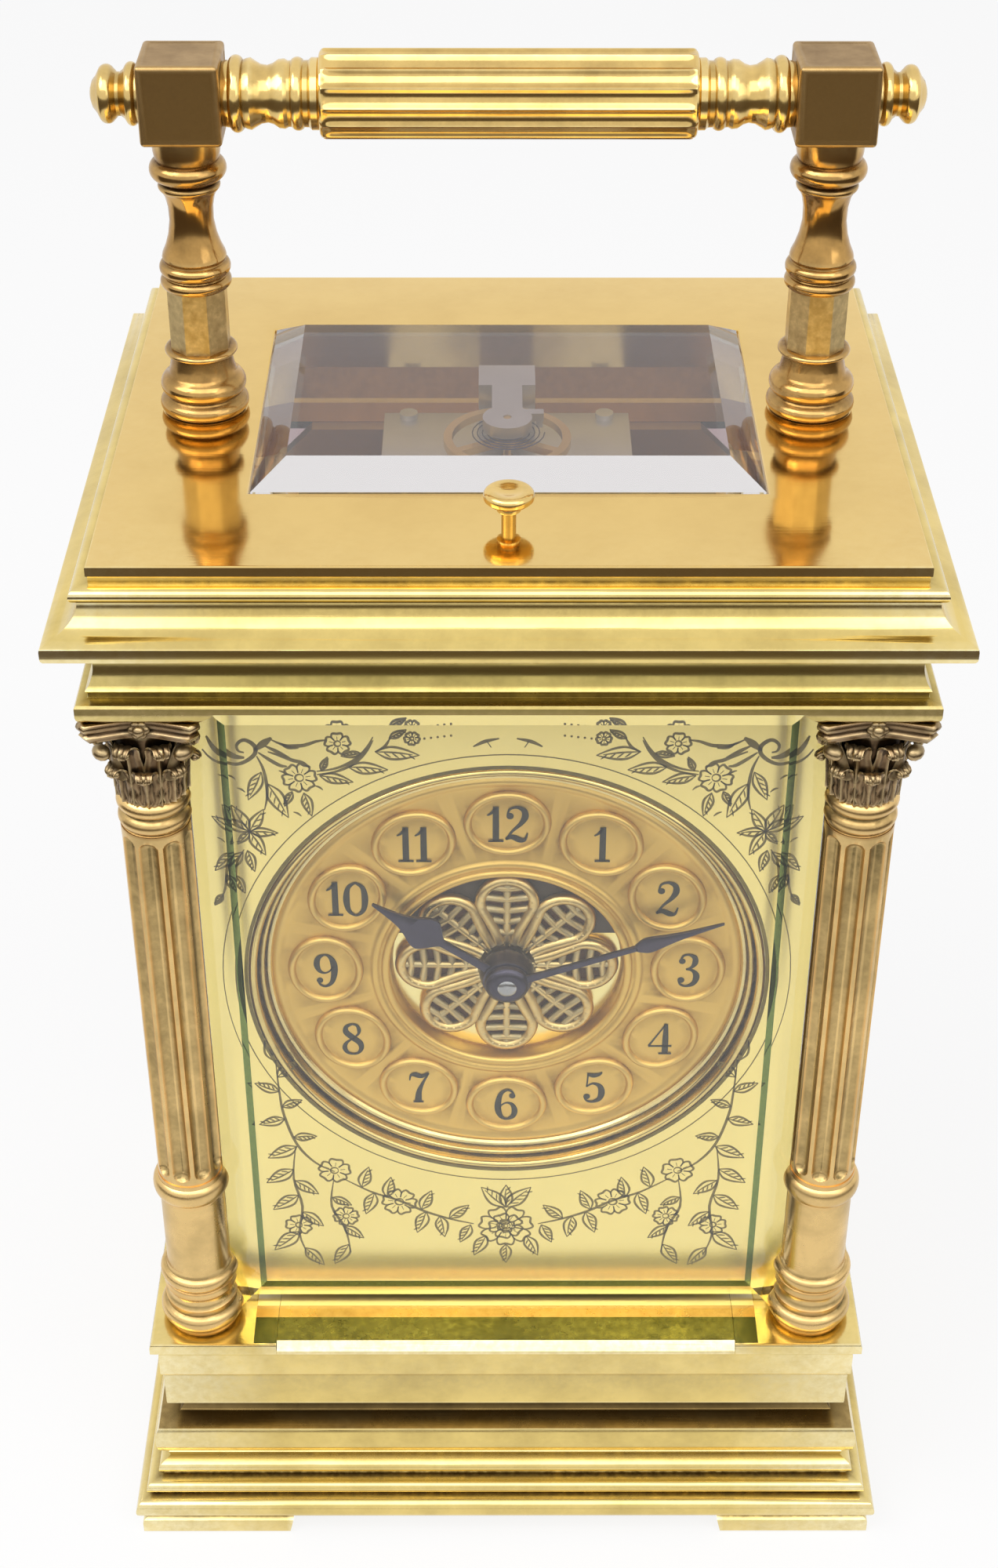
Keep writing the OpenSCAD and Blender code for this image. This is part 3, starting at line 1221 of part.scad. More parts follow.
module balance_cock() {
  y1 = frame_back - 1;
  foot_y = y_balance + balance_r + 0.7;
  color("#b9bcc0") difference() {
    union() {
      translate([-3.4, foot_y, z_platform]) cube([6.8, y1 - foot_y, z_cock - z_platform + 1.4]);
      translate([-1.8, y_balance, z_cock]) cube([3.6, y1 - y_balance, 1.4]);
      translate([0, y_balance, z_cock]) cylinder(r = 2.9, h = 1.4);
      // Stud that holds the outer end of the balance spring
      translate([3.4, y_balance + 1.6, z_balance + 1.2]) cube([0.8, 0.8, z_cock - z_balance - 0.8]);
      translate([1, y_balance + 1.6, z_cock]) cube([3.3, 1.2, 1]);
    }
    translate([0, y_balance, z_cock - cut]) cylinder(r = 0.45 + run, h = 1.4 + 2 * cut);
  }
}

module gong() {
  foot_z = p_gong[1] - gong_out;
  color(steel) {
    wire(gong_path, gong_wire);
    translate([-3, frame_back, foot_z - 3]) cube([6, y_gong - frame_back + 1.6, 6]);
  }
}

module hammer() {
  d = p_head - p_hammer;
  a = atan2(d[1], d[0]);
  color(steel) {
    bar_y(p_hammer, 0.9, -frame_front + 0.2, y_gong + 1.4);
    bar_y(p_hammer, 2, y_gong - 1, y_gong + 1);
    translate([p_hammer[0], 0, p_hammer[1]]) along_y(y_gong - 0.6, y_gong + 0.6) rotate(a)
      translate([0, -0.7]) square([norm(d), 1.4]);
  }
  color(brass) bar_y(p_head, hammer_head_r, y_gong - 2, y_gong + 2);
}

base_moulding();
base_slab();
column_foot(-1, -1);  // column_foot_front_left
column_foot(1, -1);  // column_foot_front_right
column_foot(-1, 1);  // column_foot_back_left
column_foot(1, 1);  // column_foot_back_right
column_shaft(-1, -1);  // column_shaft_front_left
column_shaft(1, -1);  // column_shaft_front_right
column_shaft(-1, 1);  // column_shaft_back_left
column_shaft(1, 1);  // column_shaft_back_right
capital(-1, -1);  // capital_front_left
capital(1, -1);  // capital_front_right
capital(-1, 1);  // capital_back_left
capital(1, 1);  // capital_back_right
case_screws();
entablature();
cornice();
top_plate();
top_glass();
front_glass();
left_glass();
right_glass();
door_frame();
door_glass();
door_hinge_pins();
door_knob();
handle_post(-1);  // handle_post_left
handle_post(1);  // handle_post_right
handle_block(-1);  // handle_block_left
handle_block(1);  // handle_block_right
handle_grip();
handle_collars();
handle_finials();
repeat_button();
repeat_spring();
repeat_lever();
dial_mask();
dial_bezel();
dial_ring();
dial_rosette();
minute_hand();
hour_hand();
front_plate();
back_plate();
plate_pillars();
going_barrel();
strike_barrel();
centre_wheel();
third_wheel();
contrate_wheel();
cannon_pinion();
minute_wheel();
hour_wheel();
platform();
balance_cock();
balance_wheel();
balance_spring();
escape_wheel();
gong();
hammer();
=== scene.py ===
# %% [markdown]
# # Dressing a carriage clock
# A carriage clock is a small travelling clock in a glazed brass case. This one has four fluted
# columns with leafy capitals, a turned handle on top and a gilt dial behind bevelled glass.
# The frame that is loaded first holds every part at its true size. This lesson gives each
# part its finish, and models again the ones whose detail matters most to the eye.

import json
import math

import bmesh
import bpy
from mathutils import Matrix, Vector
from mathutils.bvhtree import BVHTree


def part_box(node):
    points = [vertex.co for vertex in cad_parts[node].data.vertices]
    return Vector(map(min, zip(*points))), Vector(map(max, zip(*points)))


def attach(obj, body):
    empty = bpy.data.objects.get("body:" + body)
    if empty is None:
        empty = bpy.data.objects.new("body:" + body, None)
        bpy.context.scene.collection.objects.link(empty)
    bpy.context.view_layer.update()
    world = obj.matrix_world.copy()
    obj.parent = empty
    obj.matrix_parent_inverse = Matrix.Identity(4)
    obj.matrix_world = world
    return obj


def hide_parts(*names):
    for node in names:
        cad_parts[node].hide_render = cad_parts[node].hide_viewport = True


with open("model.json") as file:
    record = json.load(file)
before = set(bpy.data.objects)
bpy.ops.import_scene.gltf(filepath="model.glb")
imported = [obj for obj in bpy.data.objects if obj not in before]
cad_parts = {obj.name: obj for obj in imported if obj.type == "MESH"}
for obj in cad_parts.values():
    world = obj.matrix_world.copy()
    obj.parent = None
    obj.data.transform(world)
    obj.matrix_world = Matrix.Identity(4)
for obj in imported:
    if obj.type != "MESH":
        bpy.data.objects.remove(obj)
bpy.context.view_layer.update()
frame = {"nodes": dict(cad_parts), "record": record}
print("parts in the frame:", len(frame["nodes"]))

# %% [markdown]
# ## Measures
# Work goes more easily in millimetres, so each piece is modelled in millimetres and is scaled
# to metres when it is finished. The main levels are read from the frame, so a new piece always
# meets the parts round it.

# %% Levels and widths, in millimetres
MM = 0.001


def level(node, top=True):
    """Height of a part's top or bottom, in millimetres."""
    low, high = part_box(node)
    return (high if top else low).z / MM


COLUMN_X = 40.0
COLUMN_Y = 32.4
slab_bottom = level("base_moulding")
slab_top = level("base_slab")
shaft_bottom = level("column_shaft_front_left", top=False)
shaft_top = 114.9
capital_bottom = level("capital_front_left", top=False)
frieze_bottom = level("entablature", top=False)
cornice_bottom = level("cornice", top=False)
plate_bottom = level("cornice")
pane_seat = level("top_glass", top=False)
plate_top = level("top_plate")
ring_low, ring_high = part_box("dial_ring")
dial_height = (ring_low.z + ring_high.z) / 2 / MM
print("slab", slab_bottom, slab_top, "shaft", shaft_bottom, "capital", capital_bottom)
print("frieze", frieze_bottom, "cornice", cornice_bottom, "plate", plate_bottom, plate_top, "dial", dial_height)

# %% [markdown]
# ## A shared effect: worn metal, with painted shade and highlight
# Old brass is never one colour. Handling polishes its ridges, while wax and grime darken its
# hollows, and the lacquer clouds in soft patches. Here the hollows are darkened further as
# painted shade, and the ridges are lightened as a painted highlight. Two vertex attributes,
# `ridge` and `hollow`, say how sharp the surface bends at a point. A node group turns them, and
# some noise, into a colour, a roughness and a height, and every metal on the clock uses this one
# group with its own values. Parts that come with the frame have no such attributes, which then
# count as none.

# %% Colours as the eye sees them
def seen(red, green, blue):
    """A screen colour from 0 to 255, as the linear values that shaders take."""
    linear = []
    for value in (red, green, blue):
        value = value / 255
        linear.append(value / 12.92 if value <= 0.04045 else ((value + 0.055) / 1.055) ** 2.4)
    return (*linear, 1.0)


def feed(tree, node, inputs):
    """Gives a node its inputs, each a value or the socket that it comes from."""
    for key, value in inputs.items():
        if isinstance(value, bpy.types.NodeSocket):
            tree.links.new(value, node.inputs[key])
        else:
            node.inputs[key].default_value = value


def put(tree, kind, inputs=None, **settings):
    """Adds a node, with its settings and its inputs."""
    node = tree.nodes.new("ShaderNode" + kind)
    for key, value in settings.items():
        setattr(node, key, value)
    feed(tree, node, inputs or {})
    return node


def new_group(name, inputs, outputs):
    """An empty node group with named sockets, and its two end nodes."""
    tree = bpy.data.node_groups.new(name, "ShaderNodeTree")
    for label, kind, value in inputs:
        socket = tree.interface.new_socket(name=label, in_out="INPUT", socket_type="NodeSocket" + kind)
        socket.default_value = value
    for label, kind in outputs:
        tree.interface.new_socket(name=label, in_out="OUTPUT", socket_type="NodeSocket" + kind)
    return tree, tree.nodes.new("NodeGroupInput"), tree.nodes.new("NodeGroupOutput")


def combine(tree, operation, *values, clamp=False):
    """Reckons with values, each a socket or a number."""
    return put(tree, "Math", dict(enumerate(values)), operation=operation, use_clamp=clamp).outputs[0]


def times(tree, first, second):
    """Multiplies two values, and keeps the result between 0 and 1."""
    return combine(tree, "MULTIPLY", first, second, clamp=True)


def noise(tree, place, scale, detail, roughness=0.5):
    """A cloudy pattern."""
    inputs = {"Vector": place, "Scale": scale, "Detail": detail, "Roughness": roughness}
    return put(tree, "TexNoise", inputs).outputs["Fac"]


def stretch(tree, value, low, high, to_low=0.0, to_high=1.0):
    """Takes the range from low to high and stretches it to another range."""
    inputs = {"Value": value, "From Min": low, "From Max": high, "To Min": to_low, "To Max": to_high}
    return put(tree, "MapRange", inputs).outputs["Result"]


def blend_colours(tree, mask, below, above):
    """Lays one colour over another by a mask."""
    return put(tree, "MixRGB", {"Fac": mask, "Color1": below, "Color2": above}).outputs["Color"]


def blend_shaders(tree, mask, below, above):
    """Lays one shader over another by a mask."""
    return put(tree, "MixShader", {"Fac": mask, 1: below, 2: above}).outputs["Shader"]


def any_ray(tree, *kinds):
    """1 for rays of the given kinds, and 0 for all others."""
    path = put(tree, "LightPath")
    found = 0.0
    for kind in kinds:
        found = combine(tree, "MAXIMUM", found, path.outputs[f"Is {kind} Ray"])
    return found


def new_material(name):
    """A material, its tree of nodes and its Principled shader."""
    material = bpy.data.materials.new(name)
    material.use_nodes = True
    return material, material.node_tree, material.node_tree.nodes["Principled BSDF"]


# %% The worn metal group, with painted shade and painted highlight
shaded_worn_metal, given, result = new_group(
    "Worn metal, painted shade and highlight",
    [("Metal", "Color", seen(214, 178, 104)), ("Grime and shade", "Color", seen(90, 70, 40)),
     ("Polish and highlight", "Color", seen(250, 228, 160)), ("Roughness", "Float", 0.25),
     ("Clouds", "Float", 0.3), ("Cloud size", "Float", 90.0), ("Hollows", "Float", 1.0),
     ("Ridges", "Float", 1.0), ("Scratches", "Float", 0.3), ("Casting", "Float", 0.0)],
    [("Color", "Color"), ("Roughness", "Float"), ("Height", "Float")])
GRIME_DULLS = 0.25
CLOUDS_DULL = 0.22
tree = shaded_worn_metal
place = put(tree, "TexCoord").outputs["Object"]
clouds = stretch(tree, noise(tree, place, given.outputs["Cloud size"], 5.0, 0.62), 0.38, 0.72)
clouds = times(tree, clouds, given.outputs["Clouds"])
specks = stretch(tree, noise(tree, place, 900.0, 3.0, 0.6), 0.3, 0.7, 0.55, 1.15)
marks = []
for attribute, share in (("hollow", "Hollows"), ("ridge", "Ridges")):
    mark = put(tree, "Attribute", attribute_name=attribute).outputs["Fac"]
    marks.append(times(tree, times(tree, mark, given.outputs[share]), specks))
hollow, ridge = marks
# The hollow mark darkens the colour as painted shade, on top of grime, and the ridge mark lightens it as a painted
# highlight, on top of polish.
colour = given.outputs["Metal"]
for mask, above in ((clouds, "Grime and shade"), (hollow, "Grime and shade"), (ridge, "Polish and highlight")):
    colour = blend_colours(tree, mask, colour, given.outputs[above])
dulled = combine(tree, "MULTIPLY_ADD", hollow, GRIME_DULLS, given.outputs["Roughness"])
dulled = combine(tree, "MULTIPLY_ADD", clouds, CLOUDS_DULL, dulled, clamp=True)
# Fine scratches lie in three directions, and a cast skin is a soft bumpiness
scratches = 0.0
for turn, length in ((0.3, 2600.0), (1.25, 1900.0), (2.2, 2200.0)):
    lay = put(tree, "Mapping", {"Vector": place, "Rotation": (turn * 0.6, turn, turn),
                                "Scale": (60.0, length, 60.0)}).outputs["Vector"]
    lines = stretch(tree, noise(tree, lay, 1.0, 2.0), 0.60, 0.72)
    scratches = combine(tree, "MAXIMUM", scratches, lines)
scratches = times(tree, scratches, given.outputs["Scratches"])
skin = times(tree, noise(tree, place, 1700.0, 2.0), given.outputs["Casting"])
feed(tree, result, {"Color": colour, "Roughness": dulled, "Height": combine(tree, "SUBTRACT", skin, scratches)})
print("worn metal group:", len(tree.nodes), "nodes")


# %% [markdown]
# ## The metals
# The case is lemon-coloured brass, polished long ago, and its frieze is a darker, olive brass.
# The columns are satin, the capitals are bronze that has gone dark, the top plate is a mirror,
# and the dial is gilt. Each is the same group with other colours, from 0 to 255 as a screen
# shows them, and its own Principled shader with full Metallic.

# %% One function makes every metal
def metal(name, body, grime_and_shade, polish_and_highlight, roughness, clouds=0.25, cloud_size=90.0, hollows=1.0, ridges=0.7,
          scratches=0.3, casting=0.0, depth=0.00002):
    material, tree, shader = new_material(name)
    worn = put(tree, "Group", {
        "Metal": seen(*body), "Grime and shade": seen(*grime_and_shade), "Polish and highlight": seen(*polish_and_highlight), "Roughness": roughness,
        "Clouds": clouds, "Cloud size": cloud_size, "Hollows": hollows, "Ridges": ridges,
        "Scratches": scratches, "Casting": casting}, node_tree=shaded_worn_metal).outputs
    bump = put(tree, "Bump", {"Strength": 0.5, "Distance": depth, "Height": worn["Height"]})
    feed(tree, shader, {"Metallic": 1.0, "Base Color": worn["Color"], "Roughness": worn["Roughness"],
                        "Normal": bump.outputs["Normal"]})
    print("metal:", name)
    return material


case_brass = metal("lemon brass", (232, 206, 128), (112, 90, 44), (255, 244, 200), 0.13,
                   clouds=0.3, cloud_size=120.0, hollows=1.3)
olive_frieze_brass = metal("olive brass", (196, 176, 104), (100, 84, 42), (240, 216, 150), 0.16,
                   clouds=0.45, cloud_size=140.0, hollows=1.4)
column_brass = metal("satin brass", (232, 198, 134), (100, 90, 58), (236, 178, 104), 0.26,
                     clouds=0.35, cloud_size=160.0, hollows=2.0, ridges=1.0, scratches=0.5)
bronze = metal("dark bronze", (136, 110, 80), (54, 42, 30), (244, 218, 164), 0.24,
               clouds=0.4, cloud_size=300.0, hollows=1.6, casting=0.6, depth=0.00004)
mirror_brass = metal("mirror brass", (230, 196, 122), (190, 150, 78), (255, 238, 180), 0.08,
                     clouds=0.22, scratches=0.35, depth=0.000006)
handle_brass = metal("handle brass", (232, 198, 124), (96, 70, 38), (255, 238, 180), 0.15,
                     clouds=0.34, cloud_size=200.0)
post_brass = metal("post brass", (196, 154, 90), (72, 50, 28), (255, 226, 160), 0.13,
                   clouds=0.5, cloud_size=220.0, hollows=1.6)
# The deep neck of the base is painted dark, as painted shade.
shaded_neck_metal = metal("dark neck, painted shade", (112, 92, 54), (48, 38, 24), (200, 170, 110), 0.22,
                   clouds=0.5, cloud_size=140.0)
# A dark green strip for the slab before the pane: a painted reflection of the pane's green edge.
painted_green_reflection = metal("green strip, painted reflection", (62, 64, 32), (26, 28, 14), (150, 146, 80), 0.16,
                     clouds=0.5, cloud_size=90.0)
pale_floor = metal("pale floor of the case", (255, 248, 214), (206, 184, 128), (255, 252, 230), 0.25,
                   clouds=0.3, cloud_size=60.0)
hidden_ledge = metal("gold of the hidden ledge", (196, 152, 82), (112, 78, 38), (240, 206, 130), 0.2,
                     clouds=0.45, cloud_size=120.0)
block_bronze = metal("browned brass", (172, 138, 84), (92, 68, 40), (232, 200, 146), 0.34,
                     clouds=0.5, cloud_size=180.0)
gilt_mask = metal("pale gilding", (255, 233, 150), (226, 200, 124), (255, 246, 190), 0.22,
                  clouds=0.12, cloud_size=70.0, scratches=0.15)
gilt_ring = metal("matt gilding", (244, 204, 112), (164, 122, 58), (255, 232, 160), 0.42,
                  clouds=0.16, cloud_size=90.0, scratches=0.0, casting=0.35, depth=0.00001)
filigree_gilt = metal("filigree gilding", (234, 198, 120), (110, 82, 44), (255, 240, 190), 0.3,
                      clouds=0.3, cloud_size=400.0, casting=0.3)
movement_brass = metal("movement brass", (222, 188, 110), (150, 116, 60), (250, 226, 160), 0.3,
                       clouds=0.3, cloud_size=60.0, scratches=0.6)
steel = metal("arbor steel", (176, 176, 178), (110, 106, 100), (230, 230, 232), 0.2,
              clouds=0.3, cloud_size=200.0, scratches=0.5)
silvered = metal("silvered brass", (206, 204, 194), (150, 144, 126), (240, 240, 234), 0.3,
                 clouds=0.25, cloud_size=120.0, scratches=0.5)
hand_steel = metal("blued steel", (74, 70, 84), (38, 34, 42), (130, 126, 144), 0.3,
                   clouds=0.35, cloud_size=260.0)


# %% [markdown]
# ## Painted shade in the engraving, and the numerals
# The cuts of the engraver are painted matt olive-brown, as the shade that lies in their grooves.
# The numerals are a nearly black enamel. Neither is a metal, so they get a plain shader with a
# little noise in their colour and roughness.

# %% Fillings
def filling(name, thick, thin, roughness, size):
    material, tree, shader = new_material(name)
    spots = noise(tree, put(tree, "TexCoord").outputs["Object"], size, 4.0)
    bump = put(tree, "Bump", {"Strength": 0.3, "Distance": 0.00001, "Height": spots})
    feed(tree, shader, {
        "Base Color": blend_colours(tree, spots, seen(*thick), seen(*thin)),
        "Roughness": stretch(tree, spots, 0.0, 1.0, roughness - 0.1, roughness + 0.15),
        "Normal": bump.outputs["Normal"]})
    return material


# The engraved cuts are painted dark olive-brown: painted shade of their grooves.
cut_shade = filling("painted shade of the cuts", (84, 70, 14), (146, 126, 48), 0.6, 900.0)
enamel = filling("black enamel", (22, 22, 10), (46, 42, 22), 0.4, 1200.0)
# The upper half of the floor in the dial's centre is painted dark: painted shade of the ring above it.
recess_shade = filling("painted shade of the recess", (78, 70, 62), (100, 88, 74), 0.6, 300.0)
petal_dark = filling("petal ground", (74, 44, 18), (120, 76, 34), 0.6, 500.0)

# %% [markdown]
# ## Glass
# The panes are thick crystal with ground bevels. A Principled shader with Transmission bends
# the view as real glass does, but it would also keep lamps out of the case. The Light Path
# node solves that: for shadow rays and diffuse rays the pane is simply clear. The green edge of
# the front pane is a painted reflection, and it is clear for mirrored rays too, because its
# mirror image would draw a second frame on the gilt mask. The panes of the lid and of the rear
# door have a smoky tint, which keeps the inside of the case dark. In the lid, light that has
# turned several times inside the pane is painted white with an emission, a painted glow where a
# render would stop following it and leave the bevel dark.

# %% Crystal
CLEAR = (0.985, 0.995, 0.98, 1.0)
TRAPPED_AFTER = 3.5


def crystal(name, tint, smears=0.03, white_bevel=False, clear_for=("Shadow", "Diffuse"), shade=CLEAR):
    material, tree, shader = new_material(name)
    place = put(tree, "TexCoord").outputs["Object"]
    feed(tree, shader, {
        "Transmission Weight": 1.0, "IOR": 1.5, "Base Color": tint,
        "Roughness": stretch(tree, noise(tree, place, 40.0, 4.0), 0.45, 0.8, 0.0, smears)})
    inside = shader.outputs["BSDF"]
    # Rays trapped inside the pane turn into a white emission: a painted glow on the bevel.
    if white_bevel:
        depth = put(tree, "LightPath").outputs["Ray Depth"]
        bright = put(tree, "Emission", {"Color": (0.96, 1.0, 0.98, 1.0), "Strength": 1.0})
        trapped = combine(tree, "GREATER_THAN", depth, TRAPPED_AFTER)
        inside = blend_shaders(tree, trapped, inside, bright.outputs["Emission"])
    clear = put(tree, "BsdfTransparent", {"Color": shade})
    surface = blend_shaders(tree, any_ray(tree, *clear_for), inside, clear.outputs["BSDF"])
    tree.links.new(surface, tree.nodes["Material Output"].inputs["Surface"])
    return material


SMOKY = (0.6, 0.5, 0.5, 1.0)
# The green edge of the front pane is a painted reflection of its ground edge.
painted_edge_reflection = crystal("green edge, painted reflection", (0.04, 0.1, 0.06, 1.0), 0.05, clear_for=("Shadow", "Diffuse", "Glossy"))
pane_glass = crystal("bevelled crystal", CLEAR)
lid_glass = crystal("smoky lid crystal", (0.62, 0.54, 0.56, 1.0), white_bevel=True)
door_glass = crystal("smoky door crystal", SMOKY, shade=SMOKY)

# %% [markdown]
# ## Finishes for the parts that stay
# Many parts of the frame need no new shape: most panes, the movement and the screws. Each takes
# the finish of its material slot in the record, and two panes then get their smoky glass.

# %% Give every part of the frame its finish
finish_of_slot = {
    "case_brass": case_brass, "column_brass": column_brass, "capital_bronze": bronze,
    "plate_brass": mirror_brass, "handle_brass": handle_brass, "block_bronze": block_bronze,
    "clear_glass": pane_glass, "gilt_mask": gilt_mask, "gilt_ring": gilt_ring,
    "blued_steel": hand_steel, "movement_brass": movement_brass, "arbor_steel": steel,
    "silvered": silvered,
}
for part in frame["record"]["subparts"]:
    node = frame["nodes"][part["node"]]
    node.data.materials.clear()
    node.data.materials.append(finish_of_slot[part["material_slot"]])
frame["nodes"]["top_glass"].data.materials[0] = lid_glass
frame["nodes"]["door_glass"].data.materials[0] = door_glass


# %% [markdown]
# ## Finishing a new piece
# A piece is built as a bmesh in millimetres. Before it becomes an object, its doubled points
# are merged, its faces turned outwards, and each point is given its `ridge` and `hollow`. The
# ridge comes from how far the neighbours of a point lie below its tangent plane. The hollow is
# found as a cloth would find it: short rays leave the point, and those that strike the piece
# again soon show how little room there is.

# %% From bmesh to object
RIDGE_GAIN = 2.4
RIDGE_FROM = 0.12
HOLLOW_GAIN = 2.6
RAYS = 9


# The ridge and hollow written here feed painted light: the metals lighten ridges as a painted highlight and darken
# hollows as painted shade.
def mark_wear(bm, reach):
    """Writes how much each point stands out or lies in a hollow, which rays of length reach find."""
    ridge = bm.verts.layers.float.new("ridge")
    hollow = bm.verts.layers.float.new("hollow")
    tree = BVHTree.FromBMesh(bm) if reach else None
    for vert in bm.verts:
        bend = 0.0
        for edge in vert.link_edges:
            away = edge.other_vert(vert).co - vert.co
            if away.length > 1e-9:
                bend -= vert.normal.dot(away.normalized())
        bend /= max(1, len(vert.link_edges))
        vert[ridge] = min(1.0, max(0.0, bend * RIDGE_GAIN - RIDGE_FROM))
        if tree:
            side = vert.normal.orthogonal().normalized()
            start = vert.co + vert.normal * 0.02
            struck = 0.0
            for step in range(RAYS):
                turn = Matrix.Rotation(step * 2 * math.pi / RAYS, 3, vert.normal)
                lean = 0.9 if step % 3 else 0.35
                ray = (turn @ side * (1 - lean) + vert.normal * lean).normalized()
                hit, _, _, far = tree.ray_cast(start, ray, reach)
                if hit:
                    struck += 1 - 0.6 * far / reach
            vert[hollow] = min(1.0, struck / RAYS * HOLLOW_GAIN)


def add_object(name, data):
    """Puts a new object into the scene."""
    thing = bpy.data.objects.new(name, data)
    bpy.context.scene.collection.objects.link(thing)
    return thing


def as_mesh(part, name="pattern"):
    """Keeps a bmesh as a mesh, to be stamped many times."""
    mesh = bpy.data.meshes.new(name)
    part.to_mesh(mesh)
    part.free()
    return mesh


def finish_piece(bm, name, material, body="case", replaces=(), crisp=32, merge=0.004,
                 reach=2.6, place=Matrix()):
    """Makes an object of a bmesh: placed, merged, turned outwards, marked, scaled and attached to its body, with
    the parts that it replaces hidden.
    """
    bmesh.ops.transform(bm, matrix=place, verts=bm.verts)
    bmesh.ops.remove_doubles(bm, verts=bm.verts, dist=merge)
    bmesh.ops.recalc_face_normals(bm, faces=bm.faces)
    bm.normal_update()
    mark_wear(bm, reach)
    bmesh.ops.scale(bm, vec=(MM, MM, MM), verts=bm.verts)
    mesh = as_mesh(bm, name)
    mesh.shade_smooth()
    mesh.set_sharp_from_angle(angle=math.radians(crisp))
    piece = add_object(name, mesh)
    mesh.materials.append(material)
    flats = piece.modifiers.new("flat faces stay flat", "WEIGHTED_NORMAL")
    flats.keep_sharp = True
    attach(piece, body)
    if replaces:
        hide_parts(*replaces)
    print(name, "has", len(mesh.polygons), "faces")
    return piece


def stamp(bm, mesh, matrix=Matrix()):
    """Adds a copy of a mesh to a piece, set in its place by a matrix."""
    copy = mesh.copy()
    copy.transform(matrix)
    bm.from_mesh(copy)
    bpy.data.meshes.remove(copy)


def join(bm, part, matrix=Matrix()):
    """Adds a finished part to a piece, set in its place by a matrix."""
    mesh = as_mesh(part, "part")
    stamp(bm, mesh, matrix)
    bpy.data.meshes.remove(mesh)


# %% [markdown]
# ## Three ways to shape brass
# A lathe turns a profile round an axis. A moulding runs a profile round a rectangle and meets
# itself in mitred corners. A sweep draws a ring along a path, for scrolls and rims. In Blender
# the first is `spin`, and the other two are loops that are extruded again and again.

# %% Points on a curve
def arc(x, y, width, height, start, end, steps=8):
    """Points along part of an ellipse, with angles in degrees."""
    points = []
    for step in range(steps + 1):
        turn = math.radians(start + (end - start) * step / steps)
        points.append((x + width * math.cos(turn), y + height * math.sin(turn)))
    return points


def smooth_path(points, steps=6):
    """A curve through the given points, each of any number of values."""
    dense = []
    last = len(points) - 1
    for index in range(last):
        before, here = points[max(index - 1, 0)], points[index]
        there, after = points[index + 1], points[min(index + 2, last)]
        for step in range(steps):
            t = step / steps
            values = []
            for p, q, r, s in zip(before, here, there, after):
                values.append(0.5 * (2 * q + (r - p) * t + (2 * p - 5 * q + 4 * r - s) * t * t
                                     + (3 * q - p - 3 * r + s) * t ** 3))
            dense.append(tuple(values))
    dense.append(tuple(points[-1]))
    return dense


# %% The lathe
def turned(profile, steps=72):
    """A profile of (radius, height) turned about the upright axis."""
    bm = bmesh.new()
    verts = [bm.verts.new((radius, 0, height)) for radius, height in profile]
    edges = [bm.edges.new(pair) for pair in zip(verts, verts[1:])]
    bmesh.ops.spin(bm, geom=verts + edges, cent=(0, 0, 0), axis=(0, 0, 1), angle=2 * math.pi,
                   steps=steps, use_merge=True, use_duplicate=False)
    bmesh.ops.remove_doubles(bm, verts=bm.verts, dist=0.001)
    return bm


# %% Loops that are extruded
def pick(items, kind):
    """The points or the edges among mixed items."""
    return [item for item in items if isinstance(item, kind)]


def grow(bm, ring, edges):
    """Extrudes a loop once, and gives its new points, in the order of the old ones, and its new edges."""
    grown = bmesh.ops.extrude_edge_only(bm, edges=edges)["geom"]
    fresh = set(pick(grown, bmesh.types.BMVert))
    verts = [next(edge.other_vert(vert) for edge in vert.link_edges if edge.other_vert(vert) in fresh)
             for vert in ring]
    edges = [edge for edge in pick(grown, bmesh.types.BMEdge) if edge.verts[0] in fresh and edge.verts[1] in fresh]
    return verts, edges


def loft(bm, ring, edges, rings):
    """Takes a loop through rings of places, and gives the edges of the last one."""
    for index, places in enumerate(rings):
        if index:
            ring, edges = grow(bm, ring, edges)
        for vert, place in zip(ring, places):
            vert.co = place
    return edges


def lofted(segments, radius, draw):
    """A closed body. From the points of a circle, draw makes the places of all its rings."""
    bm = bmesh.new()
    ring = bmesh.ops.create_circle(bm, segments=segments, radius=radius)["verts"]
    loft(bm, ring, list(bm.edges), draw([vert.co.copy() for vert in ring]))
    bmesh.ops.holes_fill(bm, edges=bm.edges, sides=0)
    return bm


def round_place(radius, bearing, height):
    """A place at an angle round the upright axis."""
    return (radius * math.cos(bearing), radius * math.sin(bearing), height)


CORNERS = ((-1, -1), (1, -1), (1, 1), (-1, 1))


def square_loop(bm):
    """Four points and the four edges between them."""
    ring = [bm.verts.new((x, y, 0)) for x, y in CORNERS]
    return ring, [bm.edges.new((ring[i], ring[(i + 1) % 4])) for i in range(4)]


def bisect(bm, point, normal, **options):
    """Cuts a shape by a plane."""
    everything = list(bm.verts) + list(bm.edges) + list(bm.faces)
    return bmesh.ops.bisect_plane(bm, geom=everything, plane_co=point, plane_no=normal, **options)


def keep_beyond(bm, point, normal):
    """Cuts a closed shape by a plane, keeps what lies on the normal's side and fills the cut."""
    cut = bisect(bm, point, normal, clear_inner=True)["geom_cut"]
    bmesh.ops.holes_fill(bm, edges=pick(cut, bmesh.types.BMEdge), sides=0)


